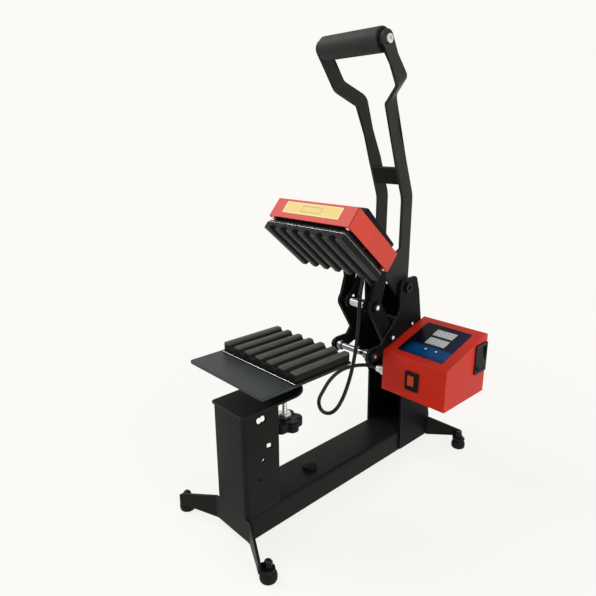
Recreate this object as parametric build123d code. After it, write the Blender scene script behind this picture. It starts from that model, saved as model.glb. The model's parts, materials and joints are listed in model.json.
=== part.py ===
from build123d import *
import math
import os

# Pen heat press: a folded steel base with four rubber feet, a tower that
# carries the lower plate on a screw lift, an upright of two side plates that
# carries the toggle linkage, the heated head, the long handle and the
# control box.
# Millimetres. X to the right, Y to the back, Z up, with X = 0 in the middle
# of the pads. The finished pieces are moved together at the end, so that the
# origin lies under the middle of the whole press, on the floor.

os.makedirs("parts", exist_ok=True)

# Fits
RUN = 0.05          # radial running clearance of a pin in its eye
GAP = 0.3           # clearance between pieces that move past each other
FAR = 300.0         # reach of the blocks that only cut
SEAT = 0.05         # radial clearance of a stud in a plain hole

# Sheet and plate
SHEET = 3.0         # base channel, leg brackets, tower, upright plates
BEND = 4.0          # outside radius of the folds
ARM_T = 4.0         # head arms and handle arms
LINK_T = 4.0        # toggle links

# Feet
FOOT_H = 12.0
FOOT_R = 9.4
FOOT_ALONG = 45.0   # from the fold to the foot, along the wing
FOOT_IN = 9.5       # from the wing's middle plane to the foot
STUD_R = 2.5
NUT_H = 9.0
NUT_R = 4.2

# Leg brackets
BRACKET_HALF = 31.0
WING_LEN = 53.5
WING_SPLAY = 28.0
BRACKET_TOP = 35.0
BRACKET_LOW = 8.0
WING_TIP_TOP = 26.5
TAB_R = 8.5

# Base channel
BASE_HALF = 27.0
BASE_LOW = 6.0
BASE_TOP = 35.0
BASE_FRONT = -160.0
BASE_REAR = 165.0
STOP_Y = -47.0
STOP_X = 3.0
STOP_R = 5.5
STOP_H = 9.0

# Tower and its roof
TOWER_TOP = 155.0
TOWER_REAR = -116.0
ROOF_T = 2.5
ROOF_OVER = 1.0
ROOF_ROUND_Y = -93.0

# Screw lift
SCREW_Y = -84.0
SCREW_R = 3.0
KNOB_R = 21.0
KNOB_H = 12.0
KNOB_Z = 106.0
LOBES = 6
COLLAR_R = 6.0
COLLAR_H = 3.4
STEM_HALF = 12.0
STEM_BORE = 8.0
GUIDE_WALL = 2.5
GUIDE_H = 18.0
FLANGE_HALF = 25.0
FLANGE_T = 3.0
LIFT_DOWN = 7.5
LIFT_UP = 3.0

# Lower plate, carrier and pad
PLATE_Z = 186.5
PLATE_T = 4.0
PLATE_HALF = 69.0
PLATE_FRONT = -161.6
PLATE_REAR = -40.0
PLATE_CORNER = 2.0
CARRIER_T = 2.5
CARRIER_LIP = 1.5
PAD_HALF = 60.0
PAD_FRONT = -121.5
PAD_REAR = -41.5
PAD_H = 11.0
GROOVES = 6
PITCH = 18.5
GROOVE_R = 5.5
RIB_ROUND = 2.5

# Upright
UPRIGHT_X = 27.0
NOSE_R = 9.8
WEB_TOP = 205.0
WEB_SET = 1.5

# Pivots of the toggle, as (Y, Z) with the press open
PIVOT_A = (99.5, 243.3)     # handle in the upright
PIVOT_D = (69.5, 184.3)     # head in the upright
PIVOT_C = (34.5, 168.5)     # tie rod across the two noses
PIVOT_E = (112.0, 192.5)    # spacer behind the pivots
PIVOT_P = (70.4, 270.7)     # link on the handle
PIVOT_B = (42.0, 228.5)     # cross shaft on the head arms
HANDLE_SWING = 72.0
HEAD_SWING = 41.0
LINK_TURN = -27.4
PIVOT_R = 5.0
LINK_PIN_R = 4.0
SHAFT_R = 6.0
SHAFT_END_R = 4.0
TIE_R = 4.0
BOLT_HEAD_R = 6.5
BOLT_HEAD_H = 4.0

# Layers across the upright
HEAD_ARM_X = 22.3
HANDLE_ARM_X = 17.0
LINK_X = 12.5
EYE_R = 11.0
LINK_EYE_R = 8.5
ARM_W = 19.0

# Head, in the closed pose
COVER_HALF = 61.7
COVER_FRONT = -123.0
COVER_REAR = -34.7
COVER_LOW = 224.2
COVER_TOP = 248.5
COVER_T = 1.2
HEATER_HALF = 56.0
HEATER_T = 11.0
PADPLATE_HALF = 61.0
PADPLATE_T = 2.5
UPPER_PAD_Z = 208.0
UPPER_PAD_H = 9.5
TRAY_H = 8.0
TRAY_T = 2.0
TRAY_FRONT = -110.0
TRAY_REAR = -47.0
TRAY_HALF = 60.5
TRAY_TAPER = 5.0
STUD_X = 42.0
STUD_IN = 16.0
LABEL_W = 86.0
LABEL_H = 15.0
LABEL_DROP = 10.6
LABEL_T = 0.5

# Handle
BAR_W = 18.5
BAR_Y = 103.6
BAR_BEND_Z = 356.0
KNEE = (61.0, 465.5)
GRIP_AT = (20.0, 521.0)
WIDE_X = 43.0
FLARE_S0 = 4.0
FLARE_S1 = 25.0
GRIP_R = 15.0
GRIP_CORE_R = 8.0
GRIP_END = 2.0
CROSS_LOW = 374.0
CROSS_TOP = 394.0
CROSS_T = 4.0

# Control box
BOX_X0 = 30.0
BOX_X1 = 121.3
BOX_Y0 = 55.6
BOX_Y1 = 143.7
BOARD_U = (16.0, 72.0)
BOARD_V = (12.0, 76.0)
BOARD_T = 1.6
BOARD_POST = 3.0            # post of the board, in from its edges
CHIP = (22.0, 34.0, 30.0, 60.0)
CHIP_H = 6.4
BOX_UNDER_BOLT = 7.7        # from the head bolt's head down to the case
BOX_FRONT_H = 52.3
BOX_RISE = 25.7
BOX_FRONT_TOP = PIVOT_D[1] - BOLT_HEAD_R - BOX_UNDER_BOLT
BOX_LOW = BOX_FRONT_TOP - BOX_FRONT_H
BOX_REAR_TOP = BOX_FRONT_TOP + BOX_RISE
BOX_T = 1.5
BOX_BEND = 2.5
MEMBRANE_T = 0.8
MEMBRANE_U = (14.0, 78.0)
MEMBRANE_V = (10.5, 78.0)
WINDOWS = ((35.0, 63.5, 55.5, 69.5), (36.0, 63.5, 37.0, 51.5))
KEYS = ((45.9, 25.4), (60.3, 25.4))
KEY_R = 2.5
KEY_PROUD = 1.0
KEY_TRAVEL = 0.5
ROCKER_Y = 129.5
ROCKER_Z = BOX_LOW + 48.2
ROCKER_W = 26.0
ROCKER_L = 38.0
ROCKER_PROUD = 2.0
ROCKER_TILT = 9.0
INLET_X = 62.0
INLET_Z = BOX_LOW + 24.2

# Lead from the head to the box
LEAD_R = 2.4
LEAD_X = 9.5
GLAND_R = 7.0
BOX_GLAND_R = 5.5
GLAND_LEN = 12.0
BOX_GLAND = (BOX_Y0 + 6.4, BOX_LOW + 22.4)
HEAD_GLAND_Z = 234.0


def poly(*points):
    """Face inside a closed line of points, whichever way round they run."""
    twice = 0.0
    for i, (u, v) in enumerate(points):
        u2, v2 = points[(i + 1) % len(points)]
        twice += u * v2 - u2 * v
    ordered = points if twice > 0 else points[::-1]
    return Polygon(*ordered, align=None)


def flat_yz(face, x0, x1):
    """Extrude a face drawn in (Y, Z) from x0 to x1."""
    return extrude(Plane.YZ.offset(x0) * face, amount=x1 - x0, dir=(1, 0, 0))


def flat_xz(face, y0, y1):
    """Extrude a face drawn in (X, Z) from y0 to y1."""
    return extrude(Plane.XZ.offset(-y1) * face, amount=y1 - y0, dir=(0, -1, 0))


def flat_xy(face, z0, z1):
    """Extrude a face drawn in (X, Y) from z0 to z1."""
    return extrude(Plane.XY.offset(z0) * face, amount=z1 - z0, dir=(0, 0, 1))


def rod_x(centre, radius, x0, x1):
    """Round bar along X through the point (Y, Z)."""
    return flat_yz(Pos(centre[0], centre[1]) * Circle(radius), x0, x1)


def rod_z(x, y, radius, z0, z1):
    """Round bar along Z."""
    return flat_xy(Pos(x, y) * Circle(radius), z0, z1)


def block(x0, x1, y0, y1, z0, z1):
    """Box from its limits."""
    size = Box(x1 - x0, y1 - y0, z1 - z0)
    return Pos((x0 + x1) / 2, (y0 + y1) / 2, (z0 + z1) / 2) * size


def both(shape):
    """A piece and its mirror image in the middle plane."""
    return [shape, mirror(shape, about=Plane.YZ)]


def hull(circles):
    """Taut outline round circles given as (u, v, radius)."""
    outline = Sketch()
    for u, v, radius in circles:
        outline += Pos(u, v) * Circle(radius)
    return make_hull(outline.edges())


def ribbon(points, width):
    """Strip of even width along a line of points, with mitred corners."""
    left = []
    right = []
    last = len(points) - 1
    for i, (u, v) in enumerate(points):
        ahead = points[min(i + 1, last)]
        behind = points[max(i - 1, 0)]
        a = math.atan2(ahead[1] - v, ahead[0] - u) if i < last else None
        b = math.atan2(v - behind[1], u - behind[0]) if i > 0 else None
        a = b if a is None else a
        b = a if b is None else b
        mid = (a + b) / 2
        reach = width / 2 / math.cos((a - b) / 2)
        left.append((u - reach * math.sin(mid), v + reach * math.cos(mid)))
        right.append((u + reach * math.sin(mid), v - reach * math.cos(mid)))
    return poly(*(left + right[::-1]))


def turn(point, pivot, degrees):
    """A (Y, Z) point turned about a pivot, from Y towards Z."""
    a = math.radians(degrees)
    dy = point[0] - pivot[0]
    dz = point[1] - pivot[1]
    y = pivot[0] + dy * math.cos(a) - dz * math.sin(a)
    z = pivot[1] + dy * math.sin(a) + dz * math.cos(a)
    return (y, z)


def open_head(shape):
    """Take a head piece from the closed pose to the open one."""
    axis = Axis((0, PIVOT_D[0], PIVOT_D[1]), (1, 0, 0))
    return shape.rotate(axis, -HEAD_SWING)


# Leg brackets
splay = math.radians(WING_SPLAY)
bracket_y = BASE_FRONT - SHEET / 2
wing_end = (BRACKET_HALF + WING_LEN * math.cos(splay), bracket_y - WING_LEN * math.sin(splay))
plan_line = [
    (-wing_end[0], wing_end[1]),
    (-BRACKET_HALF, bracket_y),
    (BRACKET_HALF, bracket_y),
    wing_end,
]
foot_x = BRACKET_HALF + FOOT_ALONG * math.cos(splay) + FOOT_IN * math.sin(splay)
foot_y = bracket_y - FOOT_ALONG * math.sin(splay) + FOOT_IN * math.cos(splay)
side_view = poly(
    (-wing_end[0], WING_TIP_TOP),
    (-wing_end[0], FOOT_H),
    (-wing_end[0] + 17.0 * math.cos(splay), FOOT_H),
    (-BRACKET_HALF, BASE_LOW + 1.0),
    (-BASE_HALF, BRACKET_LOW),
    (BASE_HALF, BRACKET_LOW),
    (BRACKET_HALF, BASE_LOW + 1.0),
    (wing_end[0] - 17.0 * math.cos(splay), FOOT_H),
    (wing_end[0], FOOT_H),
    (wing_end[0], WING_TIP_TOP),
    (BRACKET_HALF, BRACKET_TOP),
    (-BRACKET_HALF, BRACKET_TOP),
)
tips = [v for v in side_view.vertices() if abs(v.Y - WING_TIP_TOP) < 0.01]
side_view = fillet(tips, 4.0)
folded = flat_xy(ribbon(plan_line, SHEET), 0, BRACKET_TOP)
bend_lines = [e for e in folded.edges().filter_by(Axis.Z) if abs(abs(e.center().X) - BRACKET_HALF) < 1.5]
folded = fillet(bend_lines, 2.0)
bracket = folded & flat_xz(side_view, -260, -100)
tab = Pos(foot_x, foot_y) * Circle(TAB_R)
tongue = Plane.XY * Pos(foot_x, foot_y) * Rot(0, 0, -WING_SPLAY) * Pos(0, -FOOT_IN / 2) * Rectangle(2 * TAB_R, FOOT_IN)
tab = flat_xy(tab + tongue, FOOT_H, FOOT_H + SHEET)
tab -= rod_z(foot_x, foot_y, STUD_R + SEAT, 0, 40)
bracket = bracket + tab + mirror(tab, about=Plane.YZ)
front_bracket = bracket
base_mid = (BASE_FRONT + BASE_REAR) / 2
rear_bracket = bracket.rotate(Axis((0, base_mid, 0), (0, 0, 1)), 180)

# Feet
feet_at = []
for side in (-1, 1):
    feet_at.append((side * foot_x, foot_y))
    feet_at.append((side * foot_x, 2 * base_mid - foot_y))
pad_section = poly(
    (0, 0),
    (FOOT_R - 1.0, 0),
    (FOOT_R, 1.0),
    (FOOT_R, FOOT_H - 2.0),
    (FOOT_R - 1.5, FOOT_H),
    (0, FOOT_H),
)
foot_pad = revolve(Plane.XZ * pad_section, Axis.Z)
foot_pad -= rod_z(0, 0, STUD_R + SEAT, 4, FOOT_H + 1)
foot_stud = rod_z(0, 0, STUD_R, 4, FOOT_H + SHEET + NUT_H - 2.0)
nut_top = FOOT_H + SHEET + NUT_H
cap_nut = flat_xy(RegularPolygon(NUT_R, 6), FOOT_H + SHEET, nut_top - 3.0)
cap_nut += Pos(0, 0, nut_top - 3.0) * Cone(NUT_R - 0.7, 1.5, 3.0, align=(Align.CENTER, Align.CENTER, Align.MIN))
cap_nut -= rod_z(0, 0, STUD_R + SEAT, 0, nut_top - 2.0)
foot_pads = [Pos(x, y, 0) * foot_pad for x, y in feet_at]
foot_studs = [Pos(x, y, 0) * foot_stud for x, y in feet_at]
foot_nuts = [Pos(x, y, 0) * cap_nut for x, y in feet_at]

# Base channel and its rubber stop
outer = Pos(0, (BASE_LOW + BASE_TOP) / 2) * Rectangle(2 * BASE_HALF, BASE_TOP - BASE_LOW)
outer = fillet([v for v in outer.vertices() if v.Y > BASE_TOP - 1], BEND)
inner_top = BASE_TOP - SHEET
inner = Pos(0, (BASE_LOW - 5 + inner_top) / 2) * Rectangle(2 * (BASE_HALF - SHEET), inner_top - BASE_LOW + 5)
inner = fillet([v for v in inner.vertices() if v.Y > inner_top - 1], BEND - SHEET)
channel = flat_xz(outer - inner, BASE_FRONT, BASE_REAR)
channel -= rod_z(STOP_X, STOP_Y, 2.0 + SEAT, 20, 50)
stop_section = poly(
    (0, BASE_TOP),
    (STOP_R, BASE_TOP),
    (STOP_R, BASE_TOP + STOP_H - 2.5),
    (STOP_R - 2.5, BASE_TOP + STOP_H),
    (0, BASE_TOP + STOP_H),
)
channel_stop = Pos(STOP_X, STOP_Y, 0) * revolve(Plane.XZ * stop_section, Axis.Z)
channel_stop += rod_z(STOP_X, STOP_Y, 2.0, BASE_TOP - SHEET, BASE_TOP + 1)

# Tower
tower_front = BASE_FRONT - SHEET
plan_outer = Pos(0, (tower_front + TOWER_REAR) / 2) * Rectangle(2 * BASE_HALF, TOWER_REAR - tower_front)
plan_outer = fillet([v for v in plan_outer.vertices() if v.Y < tower_front + 1], BEND + 1)
inner_front = tower_front + SHEET
plan_inner = Pos(0, (inner_front + TOWER_REAR + 5) / 2) * Rectangle(2 * (BASE_HALF - SHEET), TOWER_REAR + 5 - inner_front)
plan_inner = fillet([v for v in plan_inner.vertices() if v.Y < inner_front + 1], BEND + 1 - SHEET)
tower = flat_xy(plan_outer - plan_inner, BASE_TOP, TOWER_TOP)
side_holes = Pos(-144, 147) * Circle(4.0) + Pos(-139, 150) * Circle(4.0)
side_holes += Pos(-130, 112) * Rot(0, 0, 35) * SlotOverall(9.0, 4.0)
side_holes += Pos(-137.4, 97.6) * Circle(2.3)
side_holes += Pos(-142.2, 75.8) * Circle(1.5)
tower -= flat_yz(side_holes, BASE_HALF - SHEET - 1, BASE_HALF + 1)

# Roof of the tower
roof_half = BASE_HALF + ROOF_OVER
roof_front = tower_front - ROOF_OVER - 0.5
roof_plan = Pos(0, (roof_front + ROOF_ROUND_Y) / 2) * Rectangle(2 * roof_half, ROOF_ROUND_Y - roof_front)
roof_plan = fillet([v for v in roof_plan.vertices() if v.Y < roof_front + 1], BEND)
roof_plan += Pos(0, ROOF_ROUND_Y) * Circle(roof_half)
roof_plan -= Pos(0, SCREW_Y) * Circle(SCREW_R + RUN)
roof_top = TOWER_TOP + ROOF_T
roof = flat_xy(roof_plan, TOWER_TOP, roof_top)

# Guide on the roof and the stem that slides in it
guide_half = STEM_HALF + 0.2
guide_plan = Rectangle(2 * (guide_half + GUIDE_WALL), 2 * (guide_half + GUIDE_WALL))
guide_plan = fillet(guide_plan.vertices(), 2.0) - Rectangle(2 * guide_half, 2 * guide_half)
guide = flat_xy(Pos(0, SCREW_Y) * guide_plan, roof_top, roof_top + GUIDE_H)
stem_low = roof_top + LIFT_DOWN + 0.5
nut_low = PLATE_Z - FLANGE_T - 7.5
stem = flat_xy(Pos(0, SCREW_Y) * Rectangle(2 * STEM_HALF, 2 * STEM_HALF), stem_low, PLATE_Z)
stem += flat_xy(Pos(0, SCREW_Y) * Rectangle(2 * FLANGE_HALF, 2 * FLANGE_HALF), PLATE_Z - FLANGE_T, PLATE_Z)
stem -= rod_z(0, SCREW_Y, STEM_BORE, stem_low - 1, nut_low)
stem -= rod_z(0, SCREW_Y, SCREW_R + RUN, nut_low - 1, PLATE_Z + 1)

# Screw, collars and lobed knob
screw_top = PLATE_Z - LIFT_DOWN + PLATE_T
screw = rod_z(0, SCREW_Y, SCREW_R, KNOB_Z + 2, screw_top)
knob_plan = Circle(KNOB_R - 4.0)
for i in range(LOBES):
    a = 2 * math.pi * i / LOBES
    knob_plan += Pos((KNOB_R - 5.5) * math.cos(a), (KNOB_R - 5.5) * math.sin(a)) * Circle(5.5)
knob = flat_xy(Pos(0, SCREW_Y) * knob_plan, KNOB_Z, KNOB_Z + KNOB_H)
knob += rod_z(0, SCREW_Y, 8.0, KNOB_Z + KNOB_H, KNOB_Z + KNOB_H + 6.0)
knob -= rod_z(0, SCREW_Y, SCREW_R, KNOB_Z + 2, KNOB_Z + KNOB_H + 10)
collar_gap = 0.2
collar_low = rod_z(0, SCREW_Y, COLLAR_R, TOWER_TOP - collar_gap - COLLAR_H, TOWER_TOP - collar_gap)
collar_high = rod_z(0, SCREW_Y, COLLAR_R, roof_top + collar_gap, roof_top + collar_gap + COLLAR_H)
bore = rod_z(0, SCREW_Y, SCREW_R, 100, 200)
collars = [collar_low - bore, collar_high - bore]

# Lower plate
plate_mid = (PLATE_FRONT + PLATE_REAR) / 2
plate_plan = Pos(0, plate_mid) * Rectangle(2 * PLATE_HALF, PLATE_REAR - PLATE_FRONT)
plate_plan = fillet(plate_plan.vertices(), PLATE_CORNER)
plate_plan -= Pos(0, SCREW_Y) * Circle(SCREW_R + 1.0)
plate_top = PLATE_Z + PLATE_T
lower_plate = flat_xy(plate_plan, PLATE_Z, plate_top)

# Carrier and lower pen pad
pad_mid = (PAD_FRONT + PAD_REAR) / 2
pad_len = PAD_REAR - PAD_FRONT
carrier_half = PAD_HALF + CARRIER_LIP
carrier_plan = Pos(0, pad_mid) * Rectangle(2 * carrier_half, pad_len + 2 * CARRIER_LIP)
carrier = flat_xy(fillet(carrier_plan.vertices(), 1.5), plate_top, plate_top + CARRIER_T)
pad_z = plate_top + CARRIER_T


def pad_profile(height):
    """Section of a pen pad, ribs up: round grooves between round-edged ribs."""
    profile = Pos(0, height / 2) * Rectangle(2 * PAD_HALF, height)
    for i in range(GROOVES):
        at = (i - (GROOVES - 1) / 2) * PITCH
        profile -= Pos(at, height) * Circle(GROOVE_R)
    rims = [v for v in profile.vertices() if v.Y > height - 0.01]
    edge_wall = PAD_HALF - (GROOVES - 1) / 2 * PITCH - GROOVE_R
    return fillet(rims, min(RIB_ROUND * 0.6, 0.45 * edge_wall, 0.45 * (PITCH / 2 - GROOVE_R)))


lower_pad = flat_xz(Pos(0, pad_z) * pad_profile(PAD_H), PAD_FRONT, PAD_REAR)

# Upright plates
edge_low = (171.0, 32.0)
edge_high = (134.0, 195.0)
slope = (edge_high[0] - edge_low[0]) / (edge_high[1] - edge_low[1])
edge_base_y = edge_low[0] + (BASE_TOP - edge_low[1]) * slope
a_y, a_z = PIVOT_A
d_y, d_z = PIVOT_D
c_y, c_z = PIVOT_C
shoulder_z = a_z + 12.0
upright_face = poly(
    (102.5, 8.0),
    (BASE_REAR, 8.0),
    (BASE_REAR, BASE_TOP),
    (edge_base_y, BASE_TOP),
    edge_high,
    (a_y + 27.1, a_z - 8.8),
    (a_y + 20.0, shoulder_z),
    (a_y - 12.0, shoulder_z),
    (a_y - 12.5, a_z - 7.3),
    (a_y - 11.5, a_z - 25.3),
    (d_y + 15.5, d_z + 25.7),
    (d_y + 3.5, d_z + 14.7),
    (d_y - 10.5, d_z + 3.7),
    (c_y + 16.5, c_z + NOSE_R),
    (c_y, c_z + NOSE_R),
    (c_y, c_z - NOSE_R),
    (c_y + 22.5, c_z - 6.5),
    (d_y - 1.5, d_z - 18.3),
    (91.0, 130.0),
    (101.0, 110.0),
)
shoulder = [v for v in upright_face.vertices() if v.Y > shoulder_z - 0.3]
upright_face = fillet([v for v in shoulder if v.X < a_y], 11.0)
shoulder = [v for v in upright_face.vertices() if v.Y > shoulder_z - 0.3]
upright_face = fillet([v for v in shoulder if v.X > a_y + 15.0], 7.0)
crook = [v for v in upright_face.vertices() if abs(v.X - d_y + 1.5) < 0.1 or abs(v.X - 101.0) < 0.1]
upright_face = fillet(crook, 3.0)
upright_face += Pos(*PIVOT_C) * Circle(NOSE_R)
upright_face -= Pos(*PIVOT_A) * Circle(PIVOT_R)
upright_face -= Pos(*PIVOT_D) * Circle(PIVOT_R)
upright_face -= Pos(*PIVOT_C) * Circle(TIE_R)
upright_face -= Pos(*PIVOT_E) * Circle(2.5)
right_upright = flat_yz(upright_face, UPRIGHT_X, UPRIGHT_X + SHEET)
left_upright = mirror(right_upright, about=Plane.YZ)

# Web across the back of the upright
lean = math.hypot(1, slope)
web_shift = (WEB_SET + SHEET / 2) * lean


def web_y(z):
    """Y of the web's middle plane at a height."""
    return edge_low[0] + (z - edge_low[1]) * slope - web_shift


web_strip = ribbon([(web_y(20.0), 20.0), (web_y(WEB_TOP), WEB_TOP)], SHEET)
web_strip &= Pos(140, (BASE_TOP + 250) / 2) * Rectangle(150, 250 - BASE_TOP)
back_web = flat_yz(web_strip, -UPRIGHT_X, UPRIGHT_X)

# Tie rod, riveted spacer and the bolts of the upright
upright_out = UPRIGHT_X + SHEET
tie_rod = rod_x(PIVOT_C, TIE_R, -upright_out - 5.0, upright_out + 5.0)
tie_rod += rod_x(PIVOT_C, TIE_R + 2.0, -UPRIGHT_X, -UPRIGHT_X + 8.0)
tie_rod += rod_x(PIVOT_C, TIE_R + 2.0, UPRIGHT_X - 8.0, UPRIGHT_X)
tie_nut = flat_yz(Pos(*PIVOT_C) * (RegularPolygon(6.5, 6) - Circle(TIE_R)), upright_out, upright_out + 4.0)
tie_nuts = both(tie_nut)
spacer = rod_x(PIVOT_E, 5.0, -UPRIGHT_X, UPRIGHT_X)
spacer += rod_x(PIVOT_E, 2.5, -upright_out - 2.2, upright_out + 2.2)
spacer += rod_x(PIVOT_E, 4.0, upright_out, upright_out + 2.2)
spacer += rod_x(PIVOT_E, 4.0, -upright_out - 2.2, -upright_out)

handle_out = HANDLE_ARM_X + ARM_T
head_out = HEAD_ARM_X + ARM_T
handle_bolt = rod_x(PIVOT_A, PIVOT_R, HANDLE_ARM_X - 4.0, upright_out)
handle_bolt += rod_x(PIVOT_A, BOLT_HEAD_R, upright_out, upright_out + BOLT_HEAD_H)
handle_bolt += rod_x(PIVOT_A, PIVOT_R + 3.0, handle_out + GAP, UPRIGHT_X)
handle_bolt += rod_x(PIVOT_A, PIVOT_R + 3.0, HANDLE_ARM_X - 4.0, HANDLE_ARM_X - GAP)
handle_bolt -= flat_yz(Pos(*PIVOT_A) * RegularPolygon(3.4, 6), upright_out + 1.5, upright_out + 9)
handle_bolts = both(handle_bolt)
head_bolt = rod_x(PIVOT_D, PIVOT_R, HEAD_ARM_X - 3.5, upright_out)
head_bolt += rod_x(PIVOT_D, BOLT_HEAD_R, upright_out, upright_out + BOLT_HEAD_H)
head_bolt += rod_x(PIVOT_D, PIVOT_R + 2.5, HEAD_ARM_X - 3.5, HEAD_ARM_X - GAP)
head_bolt += rod_x(PIVOT_D, PIVOT_R + 2.5, head_out + GAP, UPRIGHT_X)
head_bolts = both(head_bolt)

# Head arms, drawn in the closed pose
shaft_at = turn(PIVOT_B, PIVOT_D, HEAD_SWING)
arm_top = COVER_TOP + TRAY_H - TRAY_T
arm_strip = hull([(PIVOT_D[0], PIVOT_D[1], EYE_R), (shaft_at[0], shaft_at[1], EYE_R)])
arm_elbow = (shaft_at[0] - 12.75, shaft_at[1] + 28.4)
arm_heel = (COVER_REAR + 17.7, COVER_TOP - 1.5)
arm_strip += ribbon([shaft_at, arm_elbow, arm_heel], ARM_W)
arm_strip += Pos(*arm_elbow) * Circle(ARM_W / 2)
tongue_low = COVER_TOP + 0.2
tongue_front = TRAY_FRONT + 12.0
tongue_rear = COVER_REAR + 8.7
tongue_mid = Pos((tongue_rear + tongue_front) / 2, (tongue_low + arm_top) / 2)
arm_strip += tongue_mid * Rectangle(tongue_rear - tongue_front, arm_top - tongue_low)
arm_strip += poly(
    (COVER_REAR + 4.7, tongue_low),
    (COVER_REAR + 22.7, COVER_TOP - 10.5),
    (COVER_REAR + 26.7, COVER_TOP + 1.5),
    (COVER_REAR + 4.7, arm_top),
)
arm_strip -= Pos(0, arm_top + FAR) * Rectangle(2 * FAR, 2 * FAR)
arm_strip -= Pos(shaft_at[0], shaft_at[1]) * Circle(SHAFT_END_R)
arm_strip -= Pos(*PIVOT_D) * Circle(PIVOT_R + RUN)
right_head_arm = open_head(flat_yz(arm_strip, HEAD_ARM_X, head_out))
left_head_arm = mirror(right_head_arm, about=Plane.YZ)

# Cross shaft between the head arms, with a screw in each end
cross_shaft = rod_x(PIVOT_B, SHAFT_R, -LINK_X + GAP, LINK_X - GAP)
cross_shaft += rod_x(PIVOT_B, SHAFT_END_R, -head_out, head_out)
cross_shaft -= rod_x(PIVOT_B, 2.0, head_out - 12, head_out + 1)
cross_shaft -= rod_x(PIVOT_B, 2.0, -head_out - 1, -head_out + 12)
shaft_screw = rod_x(PIVOT_B, 2.0, head_out - 12, head_out)
shaft_screw += rod_x(PIVOT_B, BOLT_HEAD_R - 0.5, head_out, head_out + 3.5)
shaft_screws = both(shaft_screw)

# Toggle links. The cross shaft leaves the straight ratio between the joints
# by a few millimetres in mid travel, so the lower eye is a slot along it.
slot_path = []
for i in range(9):
    part = i / 8
    pin = turn(PIVOT_P, PIVOT_A, HANDLE_SWING * part)
    shaft = turn(PIVOT_B, PIVOT_D, HEAD_SWING * part)
    back = turn(shaft, pin, -LINK_TURN * part)
    slot_path.append((back[0] - pin[0] + PIVOT_P[0], back[1] - pin[1] + PIVOT_P[1]))
slot_r = SHAFT_END_R + RUN + 0.2
slot = hull([(y, z, slot_r) for y, z in slot_path])
slot_boss = hull([(y, z, LINK_EYE_R) for y, z in slot_path])
link_face = slot_boss + Pos(*PIVOT_P) * Circle(LINK_EYE_R)
link_face += ribbon([PIVOT_P, PIVOT_B], 13.0)
link_face -= slot
link_face -= Pos(*PIVOT_P) * Circle(LINK_PIN_R + RUN)
links = both(flat_yz(link_face, LINK_X, LINK_X + LINK_T))
link_pin = rod_x(PIVOT_P, LINK_PIN_R, LINK_X - GAP, handle_out)
link_pin += rod_x(PIVOT_P, LINK_PIN_R + 2.0, LINK_X - GAP - 2.5, LINK_X - GAP)
link_pin += rod_x(PIVOT_P, LINK_PIN_R + 1.5, handle_out, handle_out + 0.8)
link_pins = both(link_pin)

# Tray on top of the head
tray_z0 = COVER_TOP
tray_top = COVER_TOP + TRAY_H
tray_plan = poly(
    (-TRAY_HALF, TRAY_FRONT),
    (TRAY_HALF, TRAY_FRONT),
    (TRAY_HALF - TRAY_TAPER, TRAY_REAR),
    (-TRAY_HALF + TRAY_TAPER, TRAY_REAR),
)
tray_inner = poly(
    (-TRAY_HALF + TRAY_T, TRAY_FRONT + TRAY_T),
    (TRAY_HALF - TRAY_T, TRAY_FRONT + TRAY_T),
    (TRAY_HALF - TRAY_TAPER - TRAY_T, TRAY_REAR + 1),
    (-TRAY_HALF + TRAY_TAPER + TRAY_T, TRAY_REAR + 1),
)
tray = flat_xy(fillet(tray_plan.vertices(), 2.0), tray_z0, tray_top)
tray -= flat_xy(tray_inner, tray_z0 - 1, tray_top - TRAY_T)

# Cover of the head: a folded sheet box, open below, with a lug in each corner
cover_mid = (COVER_FRONT + COVER_REAR) / 2
cover_len = COVER_REAR - COVER_FRONT
cover = Pos(0, cover_mid, (COVER_LOW + COVER_TOP) / 2) * Box(2 * COVER_HALF, cover_len, COVER_TOP - COVER_LOW)
corners = cover.edges().filter_by(Axis.Z)
cover = fillet(corners, 1.5)
cover -= block(
    -COVER_HALF + COVER_T,
    COVER_HALF - COVER_T,
    COVER_FRONT + COVER_T,
    COVER_REAR - COVER_T,
    COVER_LOW - 1,
    COVER_TOP - COVER_T,
)
lug_x = COVER_HALF - 4.5
lug_ys = (COVER_FRONT + 4.5, COVER_REAR - 4.5)
cover_screws = []
for x in (-lug_x, lug_x):
    for y in lug_ys:
        reach_x = COVER_HALF - COVER_T
        x0 = -reach_x if x < 0 else reach_x - 6.0
        y0 = COVER_FRONT + COVER_T if y < cover_mid else COVER_REAR - COVER_T - 6.0
        cover += block(x0, x0 + 6.0, y0, y0 + 6.0, COVER_LOW, COVER_LOW + 1.5)
        cover -= rod_z(x, y, 1.5 + SEAT, COVER_LOW - 1, COVER_LOW + 3)
        screw_head = rod_z(x, y, 2.8, COVER_LOW - 2.0, COVER_LOW)
        cover_screws.append(screw_head + rod_z(x, y, 1.5, COVER_LOW - 0.5, COVER_LOW + 4.0))

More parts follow.
